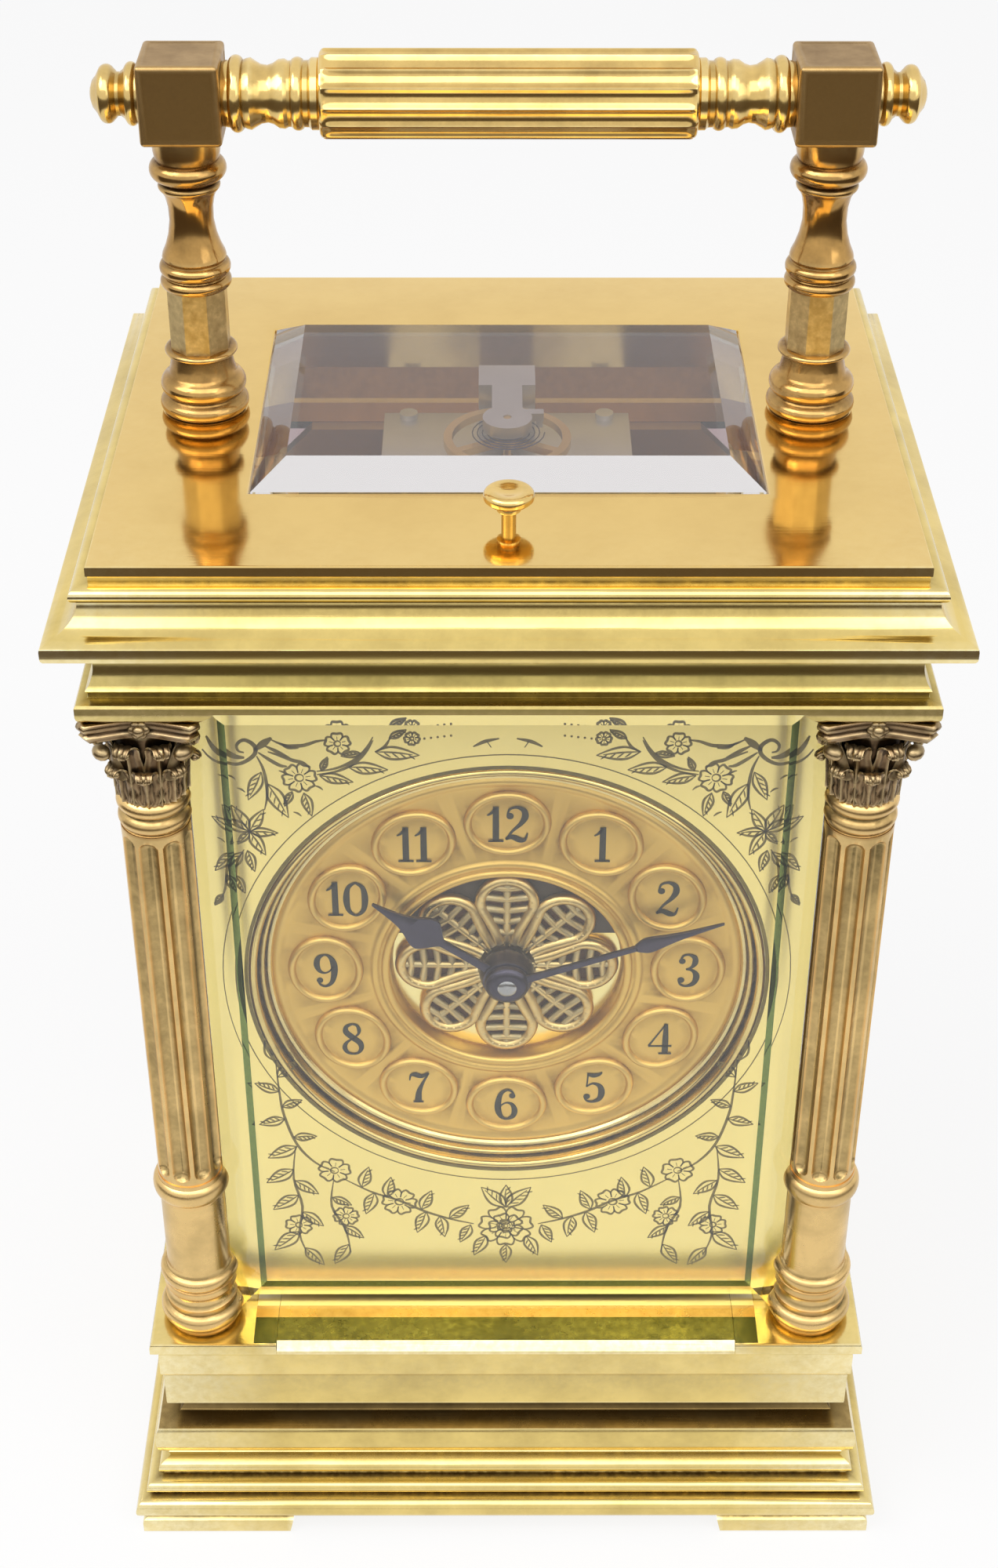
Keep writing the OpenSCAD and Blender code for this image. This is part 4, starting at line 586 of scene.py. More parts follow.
def moulding(profile, closed=True):
    """A profile of (distance out from the column axes, height) run round the case."""
    bm = bmesh.new()
    ring, first = square_loop(bm)
    last = loft(bm, ring, first, [[(x * (COLUMN_X + out), y * (COLUMN_Y + out), height) for x, y in CORNERS]
                                  for out, height in profile])
    if closed:
        bmesh.ops.bridge_loops(bm, edges=first + last)
    # Long sides are divided, so that wear and shading have points to lie on
    for point, normal in (((30, 0, 0), (1, 0, 0)), ((-30, 0, 0), (1, 0, 0)), ((0, 24, 0), (0, 1, 0)),
                          ((0, -24, 0), (0, 1, 0))):
        bisect(bm, point, normal)
    return bm


def swept(path, radii):
    """A round bar along a path of points, with a radius for each of them."""
    def draw(unit):
        side = None
        rings = []
        for index, (point, radius) in enumerate(zip(path, radii)):
            along = Vector(path[min(index + 1, len(path) - 1)]) - Vector(path[max(index - 1, 0)])
            along.normalize()
            if side is None:
                side = along.orthogonal()
            side = (side - along * side.dot(along)).normalized()
            other = along.cross(side)
            rings.append([Vector(point) + radius * (place.x * side + place.y * other) for place in unit])
        return rings
    return lofted(8, 1.0, draw)


def ball(radius, place=(0, 0, 0)):
    """A bead."""
    bm = bmesh.new()
    bmesh.ops.create_icosphere(bm, subdivisions=2, radius=radius, matrix=Matrix.Translation(place))
    return bm


def raised(level, profile):
    """A profile of (distance, height over a level)."""
    return [(out, level + height) for out, height in profile]


ALONG_X = Matrix.Rotation(math.radians(90), 4, "Y")
ON_DIAL = Matrix.Translation((0, 0, dial_height)) @ Matrix.Rotation(math.radians(90), 4, "X")
print("helpers ready")


# %% [markdown]
# ## The base
# The base is a cast frame in the shape of a plinth: a torus over four bracket feet, two beads,
# a swelling, a hollow neck and two flat bands under the slab. It is one profile run round a
# rectangle. The deep part of the neck gets a dark, dull finish of its own, which is painted
# shade. The feet are the same kind of frame, cut away in the middle of each side, so
# `bisect_plane` makes one corner and the mirrors give the rest.

# %% Base moulding
BASE_IN = -3.4
NECK_LOW = 18.2
NECK_HIGH = 21.5
base_profile = [(BASE_IN, 3.2), (7.4, 3.2), (7.9, 3.4)]
base_profile += arc(8.85, 5.0, 1.45, 1.55, -75, 78, 9)
base_profile += [(8.0, 6.75)] + arc(7.75, 7.85, 1.05, 0.95, -70, 75, 7)
base_profile += [(6.6, 8.95)] + arc(5.95, 10.1, 1.2, 1.05, -68, 72, 7)
base_profile += [(5.6, 11.45), (5.75, 12.2), (5.3, 12.6)]
base_profile += arc(6.05, 15.7, 1.1, 2.6, -82, 60, 9)
base_profile += arc(7.0, 19.7, 3.6, 2.1, 215, 145, 9)
base_profile += [(4.9, 21.4), (5.3, 21.6), (5.35, 22.0), (5.35, 26.9), (5.2, 27.2), (5.2, 27.4), (5.55, 27.5)]
base_profile += [(5.7, 27.8), (5.7, 31.3), (5.6, 31.5), (5.6, slab_bottom), (BASE_IN, slab_bottom), (BASE_IN, 3.2)]
base = moulding(base_profile)
foot = moulding([(BASE_IN, 0.0), (9.3, 0.0), (9.65, 0.35), (9.65, 2.1), (9.4, 2.5), (8.8, 2.8), (8.2, 3.4),
                 (BASE_IN, 3.4)])
keep_beyond(foot, (29.6, 0, 0), (1, 0, 0.22))
keep_beyond(foot, (0, 22.0, 0), (0, 1, 0.22))
foot_mesh = as_mesh(foot)
for x in (1, -1):
    for y in (1, -1):
        stamp(base, foot_mesh, Matrix.Diagonal((x, y, 1, 1)))
# Faces in the deep neck take the second, dark material: painted shade.
for face in base.faces:
    face.material_index = 1 if NECK_LOW < face.calc_center_median().z < NECK_HIGH else 0
plinth = finish_piece(base, "base_plinth", case_brass, replaces=["base_moulding"])
plinth.data.materials.append(shaded_neck_metal)

# %% [markdown]
# ## The slab and its sill
# The columns stand on a flat slab with softened edges. Between the columns its front and back
# edges are cut to a bright bevelled sill, the lowest stripe under the dial. The slab is three
# parts with hair-thin gaps between them, so no faces are hidden inside it. The strips of its
# top before, under and behind the pane get finishes of their own: a dark green one, gold and a
# pale one. The dark green one is a painted reflection of the green edge of the front pane.
# They are chosen so that the strips look as they do in the photograph.

# %% Slab
STRIP_END = 33.0
GREEN_STRIP_FROM = COLUMN_Y + 1.6
GOLD_FROM = COLUMN_Y - 1.5
SILL_FROM = COLUMN_Y + 5.6
SIDES = (1, -1)
slab_profile = raised(slab_bottom, [(6.2, 0.0), (6.6, 0.4)])
slab_profile += raised(slab_top, [(6.6, -0.5), (6.45, -0.15), (6.1, 0.0)])


def slab_part(left, right, sill):
    """The slab between two places along the front, with or without the bevelled sill."""
    bm = moulding(slab_profile, closed=False)
    bmesh.ops.holes_fill(bm, edges=bm.edges, sides=0)
    keep_beyond(bm, (left, 0, 0), (1, 0, 0))
    keep_beyond(bm, (right, 0, 0), (-1, 0, 0))
    if sill:
        for side in SIDES:
            keep_beyond(bm, (0, side * SILL_FROM, slab_top), (0, -side * 0.7, -0.7))
    for x in (-STRIP_END, STRIP_END):
        bisect(bm, (x, 0, 0), (1, 0, 0))
    for y in (-GREEN_STRIP_FROM, -GOLD_FROM, GOLD_FROM, GREEN_STRIP_FROM):
        bisect(bm, (0, y, 0), (0, 1, 0))
    bm.normal_update()
    # The strip before the pane takes the dark green painted reflection.
    for face in bm.faces:
        spot = face.calc_center_median()
        if abs(face.normal.z) > 0.9 and spot.z > slab_top - 0.01 and abs(spot.x) < STRIP_END:
            face.material_index = 1 if abs(spot.y) > GREEN_STRIP_FROM else 2 if abs(spot.y) > GOLD_FROM else 3
    return bm


slab = bmesh.new()
for left, right, sill in ((-60.0, -30.03, False), (-29.97, 29.97, True), (30.03, 60.0, False)):
    join(slab, slab_part(left, right, sill))
plate = finish_piece(slab, "base_plate", case_brass, replaces=["base_slab"])
for strip in (painted_green_reflection, hidden_ledge, pale_floor):
    plate.data.materials.append(strip)

# %% [markdown]
# ## The columns
# Each column is turned in three parts: a foot with rings and a plain drum, a fluted shaft with
# two rings at its neck, and a cast capital. The foot is a lathe profile. The shaft is a loop
# of points that is extruded upwards. At each level the loop's points are pushed in where a
# round-nosed cutter would have cut, which gives the arched ends of the flutes.

# %% Column feet
foot_profile = [(0.6, slab_top), (4.7, slab_top)]
foot_profile += arc(4.4, 36.1, 1.05, 1.35, -80, 80, 10)
foot_profile += [(4.6, 37.6), (4.6, 38.0)] + arc(5.35, 39.6, 1.1, 1.35, 235, 125, 8) + [(4.6, 41.2), (4.6, 41.6)]
foot_profile += arc(4.15, 42.9, 0.9, 1.1, -80, 80, 9)
foot_profile += [(4.2, 44.3), (4.08, 44.7), (4.05, 56.2), (4.2, 56.6)]
foot_profile += arc(3.95, 58.4, 0.85, 1.5, -75, 75, 9)
foot_profile += [(4.15, 60.1), (4.1, shaft_bottom), (0.6, shaft_bottom)]
corners = [("front_left", -1, -1), ("front_right", 1, -1), ("back_left", -1, 1), ("back_right", 1, 1)]
foot_mesh = as_mesh(turned(foot_profile, 80))
for where, sx, sy in corners:
    bm = bmesh.new()
    stamp(bm, foot_mesh, Matrix.Translation((sx * COLUMN_X, sy * COLUMN_Y, 0)))
    finish_piece(bm, "pedestal_" + where, column_brass, replaces=["column_foot_" + where])

# %% Fluted shafts
FLUTES = 9
SHAFT_R = 4.0
FLUTE_R = 1.25
FLUTE_DEEP = 0.8
flute_centre = SHAFT_R + FLUTE_R - FLUTE_DEEP
flute_low = shaft_bottom + 0.7 + FLUTE_R
flute_high = shaft_top - 0.8 - FLUTE_R


def fluted_radius(angle, height):
    """Radius of the shaft where a round-nosed cutter has run along it."""
    beyond = max(flute_low - height, height - flute_high, 0.0)
    if beyond >= FLUTE_R:
        return SHAFT_R
    nose = math.sqrt(FLUTE_R ** 2 - beyond ** 2)
    pitch = 2 * math.pi / FLUTES
    off = (angle + pitch / 2) % pitch - pitch / 2
    reach = nose ** 2 - (flute_centre * math.sin(off)) ** 2
    if reach <= 0:
        return SHAFT_R
    return min(SHAFT_R, flute_centre * math.cos(off) - math.sqrt(reach))


def shaft_levels():
    """Heights of the rings: close together where the flutes end, far apart between."""
    low = [flute_low - FLUTE_R * math.cos(math.radians(a)) for a in range(20, 91, 7)]
    high = [flute_high + FLUTE_R * math.cos(math.radians(a)) for a in range(90, 19, -7)]
    between = [flute_low + (flute_high - flute_low) * step / 6 for step in range(1, 6)]
    return [shaft_bottom, shaft_bottom + 0.4] + low + between + high + [shaft_top - 0.4, shaft_top]


def shaft(turn):
    """A shaft whose flutes are turned by an angle."""
    def draw(circle):
        bearings = [math.atan2(place.y, place.x) for place in circle]
        return [[round_place(fluted_radius(bearing - turn, height), bearing, height) for bearing in bearings]
                for height in shaft_levels()]
    return lofted(FLUTES * 20, SHAFT_R, draw)


neck_profile = raised(shaft_top, [(0.5, -0.2), (SHAFT_R, -0.1)] + arc(3.35, 1.1, 0.85, 1.0, -70, 70, 8))
neck_profile += raised(shaft_top, [(3.6, 2.2)] + arc(3.35, 3.3, 0.9, 1.0, -70, 70, 8))
neck_profile += [(3.5, capital_bottom), (0.5, capital_bottom)]
neck_mesh = as_mesh(turned(neck_profile))
for where, sx, sy in corners:
    bm = shaft(math.radians(-sx * sy * 18))
    stamp(bm, neck_mesh)
    finish_piece(bm, "shaft_" + where, column_brass, replaces=["column_shaft_" + where],
                 crisp=24, place=Matrix.Translation((sx * COLUMN_X, sy * COLUMN_Y, 0)))
# %% [markdown]
# ## The capitals
# A Corinthian capital is a bell wrapped in two rows of eight acanthus leaves. Scrolls rise to
# the four corners and carry a thin square slab with hollow sides, the abacus, with a small
# flower in the middle of each side. One leaf is a grid that is bent: up the bell, then out and
# over at its tip, with lobes along its edges and a raised midrib. It is stamped round the bell.
# The inner quarter of each capital stays empty, as the panes and the dial need that room.

# %% One acanthus leaf
def leaf_mesh(height, root, shoulder, curl, half_width):
    """A leaf that lies on the bell of a column, with its midrib in the x direction."""
    bm = bmesh.new()
    bmesh.ops.create_grid(bm, x_segments=12, y_segments=22, size=1.0)
    for vert in bm.verts:
        across = vert.co.x
        along = (vert.co.y + 1) / 2
        rise = min(along / 0.66, 1.0)
        radius = root + (shoulder - root) * rise ** 1.6
        up = (height - curl) * rise
        lobes = abs(math.sin(3.5 * math.pi * along))
        width = half_width * (0.72 + 0.28 * math.sin(math.pi * min(along * 1.2, 1.0))) * (0.84 + 0.2 * lobes)
        if along > 0.66:
            turn = (along - 0.66) / 0.34 * math.radians(205)
            radius = shoulder + curl - curl * math.cos(turn)
            up = height - curl + curl * math.sin(turn)
            width *= 1.0 - 0.5 * ((along - 0.66) / 0.34) ** 2
        rib = 0.3 * max(0.0, 1 - abs(across) * 4)
        frill = 0.26 * across * across * lobes + 0.07 * math.cos(9.5 * across)
        radius += rib * (1 - 0.5 * along) + frill
        bearing = across * width / max(radius, 1.0)
        vert.co = (radius * math.cos(bearing), radius * math.sin(bearing), up)
    bmesh.ops.recalc_face_normals(bm, faces=bm.faces)
    bmesh.ops.solidify(bm, geom=bm.faces, thickness=0.22)
    for across in (-0.55, 0.0, 0.55):
        spot = (shoulder + 1.7 * curl - 0.25 * abs(across), across, height - curl - 0.1)
        join(bm, ball(0.45 if across else 0.62, spot))
    return as_mesh(bm)


lower_leaf = leaf_mesh(5.0, 3.95, 4.35, 0.5, 1.7)
upper_leaf = leaf_mesh(8.6, 3.9, 4.6, 0.66, 1.75)

# %% Corner scroll, flower and abacus
def spiral(centre, start_radius, end_radius, start, turns, steps=16):
    """Points of a spiral in a plane, from outside to inside."""
    points = []
    total = int(turns * steps)
    for step in range(total + 1):
        share = step / total
        radius = start_radius + (end_radius - start_radius) * share ** 0.8
        angle = start + share * turns * 2 * math.pi
        points.append((centre[0] + radius * math.cos(angle), centre[1] + radius * math.sin(angle)))
    return points


SCROLL_EYE = (6.35, 7.75)


def corner_scroll():
    """A ribbon that leaves the bell and rolls up under the corner of the abacus."""
    stem = smooth_path([(4.0, 3.6), (4.5, 6.0), (5.2, 8.2), (6.3, 9.45)], 5)[:-1]
    roll = spiral(SCROLL_EYE, 1.7, 0.45, math.radians(92), -1.7)
    path = [(x, 0.0, z) for x, z in stem + roll]
    count = len(path)
    bm = swept(path, [0.34 + 0.28 * min(1.0, index / 16) - 0.3 * max(0.0, (index - 20) / (count - 20))
                      for index in range(count)])
    bmesh.ops.scale(bm, vec=(1, 1.5, 1), verts=bm.verts)
    eye = ball(0.95, (SCROLL_EYE[0], 0, SCROLL_EYE[1]))
    bmesh.ops.scale(eye, vec=(1, 1.3, 1), verts=eye.verts)
    join(bm, eye)
    return as_mesh(bm)


def small_flower():
    """Six petals round a bud."""
    bm = ball(0.75)
    for step in range(6):
        turn = step * math.pi / 3
        petal = ball(0.55)
        bmesh.ops.scale(petal, vec=(0.7, 1.0, 1.0), verts=petal.verts)
        join(bm, petal, Matrix.Translation((-0.15, 0.68 * math.cos(turn), 0.68 * math.sin(turn))))
    return as_mesh(bm)


def abacus(low, high):
    """A thin slab with four hollow sides and cut corners."""
    steps = [(0.93, 0.0), (0.955, 0.35), (0.985, 0.75), (0.94, 0.95), (0.94, 1.2), (1.0, 1.55), (1.015, 1.9),
             (1.0, 2.25), (0.96, high - low)]

    def draw(circle):
        outline = []
        for place in circle:
            bearing = math.atan2(place.y, place.x)
            off = (bearing + math.pi / 4) % (math.pi / 2) - math.pi / 4
            share = min(1.0, abs(off) / math.radians(43))
            side = 5.35 + 1.5 * share ** 2.2
            reach = min(side / math.cos(off), 8.75)
            outline.append((math.cos(bearing) * reach, math.sin(bearing) * reach))
        return [[(x * grown, y * grown, low + up) for x, y in outline] for grown, up in steps]
    return as_mesh(lofted(80, 1.0, draw))


scroll_mesh = corner_scroll()
flower_mesh = small_flower()
abacus_mesh = abacus(129.35 - capital_bottom, frieze_bottom - capital_bottom)
bell_mesh = as_mesh(turned([(0.5, 0), (3.85, 0), (3.9, 1.5), (3.95, 6.5), (4.5, 9.2), (4.9, 10.1),
                            (0.5, 10.2)], 48))

# %% The four capitals
EMPTY_FROM = 1.6


def in_empty_quarter(x, y, sx, sy, margin=0.4):
    """Whether a place on a capital faces the inside of the case."""
    return -sx * x > EMPTY_FROM - margin and -sy * y > EMPTY_FROM - margin


for where, sx, sy in corners:
    bm = bmesh.new()
    stamp(bm, bell_mesh)
    for pattern, radius, first_turn, pitch in ((lower_leaf, 5, 0, 45), (upper_leaf, 5, 22.5, 45),
                                               (scroll_mesh, 6, 45, 90)):
        for step in range(360 // pitch):
            angle = math.radians(first_turn + step * pitch)
            x, y, _ = round_place(radius, angle, 0)
            if not in_empty_quarter(x, y, sx, sy):
                stamp(bm, pattern, Matrix.Rotation(angle, 4, "Z"))
    for step in range(4):
        turn = Matrix.Rotation(math.radians(step * 90), 4, "Z")
        stamp(bm, flower_mesh, turn @ Matrix.Translation((5.5, 0, 11.3)))
    top = bmesh.new()
    stamp(top, abacus_mesh)
    for vert in top.verts:
        if in_empty_quarter(vert.co.x, vert.co.y, sx, sy, 0.0):
            inward_x, inward_y = -sx * vert.co.x, -sy * vert.co.y
            if inward_x < inward_y:
                vert.co.x = -sx * EMPTY_FROM
            else:
                vert.co.y = -sy * EMPTY_FROM
    join(bm, top)
    finish_piece(bm, "leafy_capital_" + where, bronze, replaces=["capital_" + where],
                 crisp=60, merge=0.0005, place=Matrix.Translation((sx * COLUMN_X, sy * COLUMN_Y, capital_bottom)))

# %% [markdown]
# ## Frieze and cornice
# Over the capitals lies the entablature: a fascia with a rounded lower edge, a fillet and a
# hollow frieze. Between the columns the fascia is cut up a little, on the front and the back.
# The cornice above it has a strong lip, a cove, a bead and a shadow gap under the top plate.

# %% Frieze
RISE = 1.4
frieze_profile = raised(frieze_bottom, [(-3.6, RISE), (6.55, RISE), (6.55, 2.15), (6.35, 2.45), (5.3, 2.65),
                                        (5.1, 2.8), (5.1, 3.25)] + arc(6.9, 6.3, 2.5, 3.4, 232, 128, 12))
frieze_profile += [(5.3, cornice_bottom), (-3.6, cornice_bottom)]
frieze = moulding(frieze_profile)
lower = moulding(raised(frieze_bottom, [(-3.6, 0.0), (5.75, 0.0), (6.2, 0.25), (6.45, 0.6), (6.55, 1.0),
                                        (6.55, RISE), (-3.6, RISE)]))
keep_beyond(lower, (33.6, 0, frieze_bottom), (RISE, 0, 2.0))
lower_mesh = as_mesh(lower)
for x in SIDES:
    stamp(frieze, lower_mesh, Matrix.Diagonal((x, 1, 1, 1)))
finish_piece(frieze, "frieze", olive_frieze_brass, replaces=["entablature"])

# %% Cornice
cornice_profile = raised(cornice_bottom, [
    (-10.9, 0.0), (8.4, 0.0), (8.75, 0.15), (8.95, 0.45), (9.0, 0.8), (9.0, 1.6), (8.95, 1.85), (8.75, 2.0),
    *arc(9.35, 5.35, 4.15, 3.2, 252, 182, 14), (5.1, 5.4), *arc(5.05, 6.3, 0.9, 0.85, -75, 90, 9), (4.0, 7.2)])
cornice_profile += [(4.0, plate_bottom), (-9.4, plate_bottom), (-9.4, pane_seat), (-10.9, pane_seat)]
finish_piece(moulding(cornice_profile), "cornice_moulding", case_brass, replaces=["cornice"])

# %% [markdown]
# ## The top plate
# The plate is the best polished face of the clock and mirrors the handle and the button. It is
# a frame round the pane in the lid, so it is a moulding too, with a closed profile whose inner
# wall is the edge of the opening.

# %% Top plate
plate_profile = raised(plate_bottom, [(-11.6, 0.0), (4.0, 0.0), (4.2, 0.2)])
plate_profile += raised(plate_top, [(4.2, -0.25), (4.12, -0.08), (3.95, 0.0), (-11.35, 0.0), (-11.55, -0.08),
                                    (-11.65, -0.3)])
finish_piece(moulding(plate_profile), "lid_plate", mirror_brass, replaces=["top_plate"])

# %% [markdown]
# ## The handle
# Two turned posts carry cubes of browned brass, and a fluted grip hangs between them on turned
# collars. The middle of each post has eight flat sides, so it is turned with only eight steps.
# The grip is a loop of points that is extruded along its length, fluted like the columns.

# %% Posts and their blocks
post_low = [(0.6, 0.0), (4.85, 0.0)] + arc(4.15, 1.0, 0.95, 0.95, -70, 75, 8) + [(4.3, 2.05)]
post_low += arc(3.5, 3.35, 1.4, 1.35, -60, 65, 9) + [(3.85, 4.9), (3.65, 5.8), (3.45, 6.7), (3.4, 7.1)]
post_low += arc(3.6, 7.5, 0.55, 0.4, -85, 85, 7) + [(3.0, 7.95), (0.6, 7.95)]
post_eight = [(0.6, 7.8), (3.5, 7.8), (3.5, 15.2), (0.6, 15.2)]
post_high = [(0.6, 15.0), (3.2, 15.1)] + arc(3.35, 15.85, 0.65, 0.7, -80, 75, 8) + [(3.45, 16.65)]
post_high += arc(3.4, 17.5, 0.6, 0.75, -75, 80, 8) + [(3.45, 18.4), (3.6, 18.75), (3.5, 19.2)]
post_high += [(3.1, 20.1), (2.7, 21.4), (2.45, 23.0), (2.5, 24.6), (2.75, 25.8), (3.05, 26.4)]
post_high += arc(2.95, 27.0, 0.5, 0.5, -70, 75, 6) + [(3.25, 27.65)]
post_high += arc(3.15, 28.9, 1.1, 1.15, -70, 72, 9) + [(3.55, 30.2), (3.7, 31.0), (3.8, 32.7), (0.6, 32.8)]
GRIP_HEIGHT = 187.4
for where, x in (("left", -35.0), ("right", 35.0)):
    bm = turned(post_low)
    join(bm, turned(post_eight, 8), Matrix.Rotation(math.radians(22.5), 4, "Z"))
    join(bm, turned(post_high))
    finish_piece(bm, "turned_post_" + where, post_brass, replaces=["handle_post_" + where],
                 place=Matrix.Translation((x, 0, plate_top)))
    block = bmesh.new()
    bmesh.ops.create_cube(block, size=8.8)
    bmesh.ops.bevel(block, geom=list(block.edges), offset=0.45, segments=3, profile=0.5, affect="EDGES",
                    material=-1)
    faces = [face for face in block.faces if face.calc_area() > 50]
    for thickness, depth in ((0.5, 0.0), (0.25, -0.06)):
        bmesh.ops.inset_individual(block, faces=faces, thickness=thickness, depth=depth)
    finish_piece(block, "browned_cube_" + where, block_bronze, replaces=["handle_block_" + where],
                 place=Matrix.Translation((x, 0, GRIP_HEIGHT)))

# %% Fluted grip
GRIP_HALF = 20.2
GRIP_R = 4.75
GRIP_FLUTES = 14
AT_GRIP = Matrix.Translation((0, 0, GRIP_HEIGHT))


def draw_grip(circle):
    """The rings of the grip, from one end to the other."""
    bearings = [math.atan2(place.y, place.x) for place in circle]
    stations = [0.0, 0.12, 0.3, 0.5, 0.7, 0.9, 1.2, 3.2, 12.0, GRIP_HALF]
    stations += [2 * GRIP_HALF - s for s in stations[-2::-1]]
    pitch = 2 * math.pi / GRIP_FLUTES
    rings = []
    for station in stations:
        from_end = min(station, 2 * GRIP_HALF - station)
        round_off = GRIP_R - 0.4 * max(0.0, 1 - from_end / 0.5) ** 2
        deep = 0.48 * min(1.0, max(0.0, (from_end - 0.25) / 0.9)) ** 0.5
        ring = []
        for bearing in bearings:
            off = abs((bearing + pitch / 2) % pitch - pitch / 2) / pitch
            cut = deep * math.sqrt(max(0.0, 1 - (off / 0.43) ** 2))
            ring.append(round_place(round_off - cut, bearing, station))
        rings.append(ring)
    return rings


grip = lofted(GRIP_FLUTES * 12, GRIP_R, draw_grip)
grip_place = AT_GRIP @ ALONG_X @ Matrix.Translation((0, 0, -GRIP_HALF))


finish_piece(grip, "fluted_grip", handle_brass, replaces=["handle_grip"], crisp=24,
             place=grip_place)

# %% Collars and end knobs
collar_profile = [(0.8, 20.15), (3.55, 20.15), (3.79, 20.4), (3.79, 21.1), (3.5, 21.4)]
collar_profile += arc(3.2, 22.6, 0.65, 0.75, -65, 65, 7) + [(3.45, 23.6), (3.66, 24.0), (3.6, 24.6), (3.2, 25.2)]
collar_profile += [(3.0, 25.8), (3.1, 26.5), (3.45, 27.1), (3.78, 27.6), (3.7, 28.0)]
collar_profile += arc(3.25, 29.15, 0.82, 0.8, -70, 70, 8) + [(3.5, 30.2), (3.4, 30.6), (0.8, 30.65)]
knob_profile = [(0.8, 39.3), (3.1, 39.35)] + arc(2.75, 40.4, 0.62, 0.62, -70, 60, 7)
knob_profile += [(2.6, 41.2), (2.3, 41.6), (2.32, 41.95), (2.6, 42.2)] + arc(2.3, 43.05, 0.82, 0.85, -60, 70, 8)
knob_profile += [(2.0, 44.15), (1.5, 44.55), (0.8, 44.8), (0.0, 44.88)]
collars = bmesh.new()
knobs = bmesh.new()
for side in SIDES:
    face = AT_GRIP @ Matrix.Diagonal((side, 1, 1, 1)) @ ALONG_X
    join(collars, turned(collar_profile), face)
    join(knobs, turned(knob_profile, 64), face)
finish_piece(collars, "turned_collars", handle_brass, replaces=["handle_collars"])
finish_piece(knobs, "end_knobs", handle_brass, replaces=["handle_finials"])

# %% [markdown]
# ## The repeat button
# Pressing the button makes the clock strike the last hour again. It is a small mushroom with a
# dimple, on a stem that goes down through the lid, and it moves on its own body.

# %% Repeat button
button_low = level("repeat_button", top=False)
button_profile = [(0.0, button_low), (0.5, button_low), (0.8, button_low + 0.4), (0.8, 151.9), (1.3, 152.05),
                  (1.32, 152.4), (1.15, 152.8), (1.2, 153.1), (2.5, 153.2), (2.72, 153.45), (2.75, 153.8)]
button_profile += arc(2.15, 153.8, 0.6, 0.66, 10, 85, 6) + [(1.5, 154.42), (0.9, 154.2), (0.0, 154.08)]
finish_piece(turned(button_profile, 64), "pushed_button", handle_brass, body="repeat_button",
             replaces=["repeat_button"], place=Matrix.Translation((0, -27.6, 0)))

# %% [markdown]
# ## The dial
# The dial is built in layers. A bright bezel fills the hole of the gilt mask. In it lies the
# matt numeral ring with twelve raised oval plaques, and a deep centre with an openwork rosette.
# Here x is to the right, y is up and z is forward, and one matrix stands the dial upright.

# %% Bezel and numeral ring
bezel_profile = [(28.45, 25.5), (28.45, 26.25), (28.65, 26.5), (29.0, 26.55), (29.15, 26.4), (29.3, 26.75)]
bezel_profile += arc(29.65, 27.0, 0.35, 0.35, 150, 40, 5) + [(30.05, 27.05), (30.15, 27.6)]
bezel_profile += arc(30.65, 28.1, 0.5, 0.55, 170, 5, 10) + [(31.15, 27.7), (31.1, 26.9), (28.6, 25.4)]
finish_piece(turned(bezel_profile + [bezel_profile[0]], 180), "bright_bezel", case_brass,
             replaces=["dial_bezel"], place=ON_DIAL)

FLOOR = 24.4
ring_profile = [(12.0, 23.9), (12.0, FLOOR), (14.2, FLOOR), (14.2, 26.3)]
ring_profile += arc(14.75, 26.35, 0.5, 0.42, 175, 10, 8)
ring_profile += [(15.5, 26.4)] + arc(16.0, 26.35, 0.45, 0.25, 160, 15, 6) + [(16.8, 26.22), (20.0, 26.1)]
ring_profile += [(26.9, 26.1), (27.3, 26.2), (27.6, 26.35), (27.9, 26.38), (28.2, 26.3), (28.45, 26.1)]
ring_profile += [(28.45, 25.4), (15.0, 25.4), (15.0, 23.9), (12.0, 23.9)]
ring = turned(ring_profile, 180)


# %% [markdown]
# ## Hour plaques
# Each plaque is an oval with a rounded raised rim, a groove inside it and a gently domed field.
# A circle is scaled to an oval and extruded inwards, step by step, like a chaser working from
# the rim to the middle. The hours are spaced by turning the place of each plaque, and the
# plaques themselves stay tangential.

# %% One plaque, twelve times
PLAQUE_CIRCLE = 22.0
PLAQUE_WIDE = 5.15
PLAQUE_HIGH = 4.6
RING_FACE = 26.1


def plaque():
    """One oval, from its outer edge to its middle."""
    steps = [(0.0, -0.15), (0.02, 0.12), (0.12, 0.42), (0.3, 0.6), (0.5, 0.66), (0.7, 0.6), (0.88, 0.42),
             (0.98, 0.2), (1.12, 0.16), (1.35, 0.2), (2.2, 0.3), (3.2, 0.36), (4.1, 0.38)]
    bm = bmesh.new()
    ring = bmesh.ops.create_circle(bm, segments=64, radius=1.0)["verts"]
    unit = [vert.co.copy() for vert in ring]
    inner = loft(bm, ring, list(bm.edges), [
        [(place.x * (PLAQUE_WIDE - inset), place.y * (PLAQUE_HIGH - inset), RING_FACE + up) for place in unit]
        for inset, up in steps])
    bmesh.ops.holes_fill(bm, edges=inner, sides=0)
    return as_mesh(bm)


plaque_mesh = plaque()
for hour in range(12):
    turn = Matrix.Rotation(math.radians(-30 * hour), 4, "Z")
    stamp(ring, plaque_mesh, turn @ Matrix.Translation((0, PLAQUE_CIRCLE, 0)))
finish_piece(ring, "hour_ring", gilt_ring, replaces=["dial_ring"], crisp=40, merge=0.0005,
             place=ON_DIAL)


# %% [markdown]
# ## Strokes
# Numerals, hands and engraving are all strokes whose width swells and thins. A short edge is
# drawn along a smooth path and given a new width at each point. The points hold x, y and the
# width there.

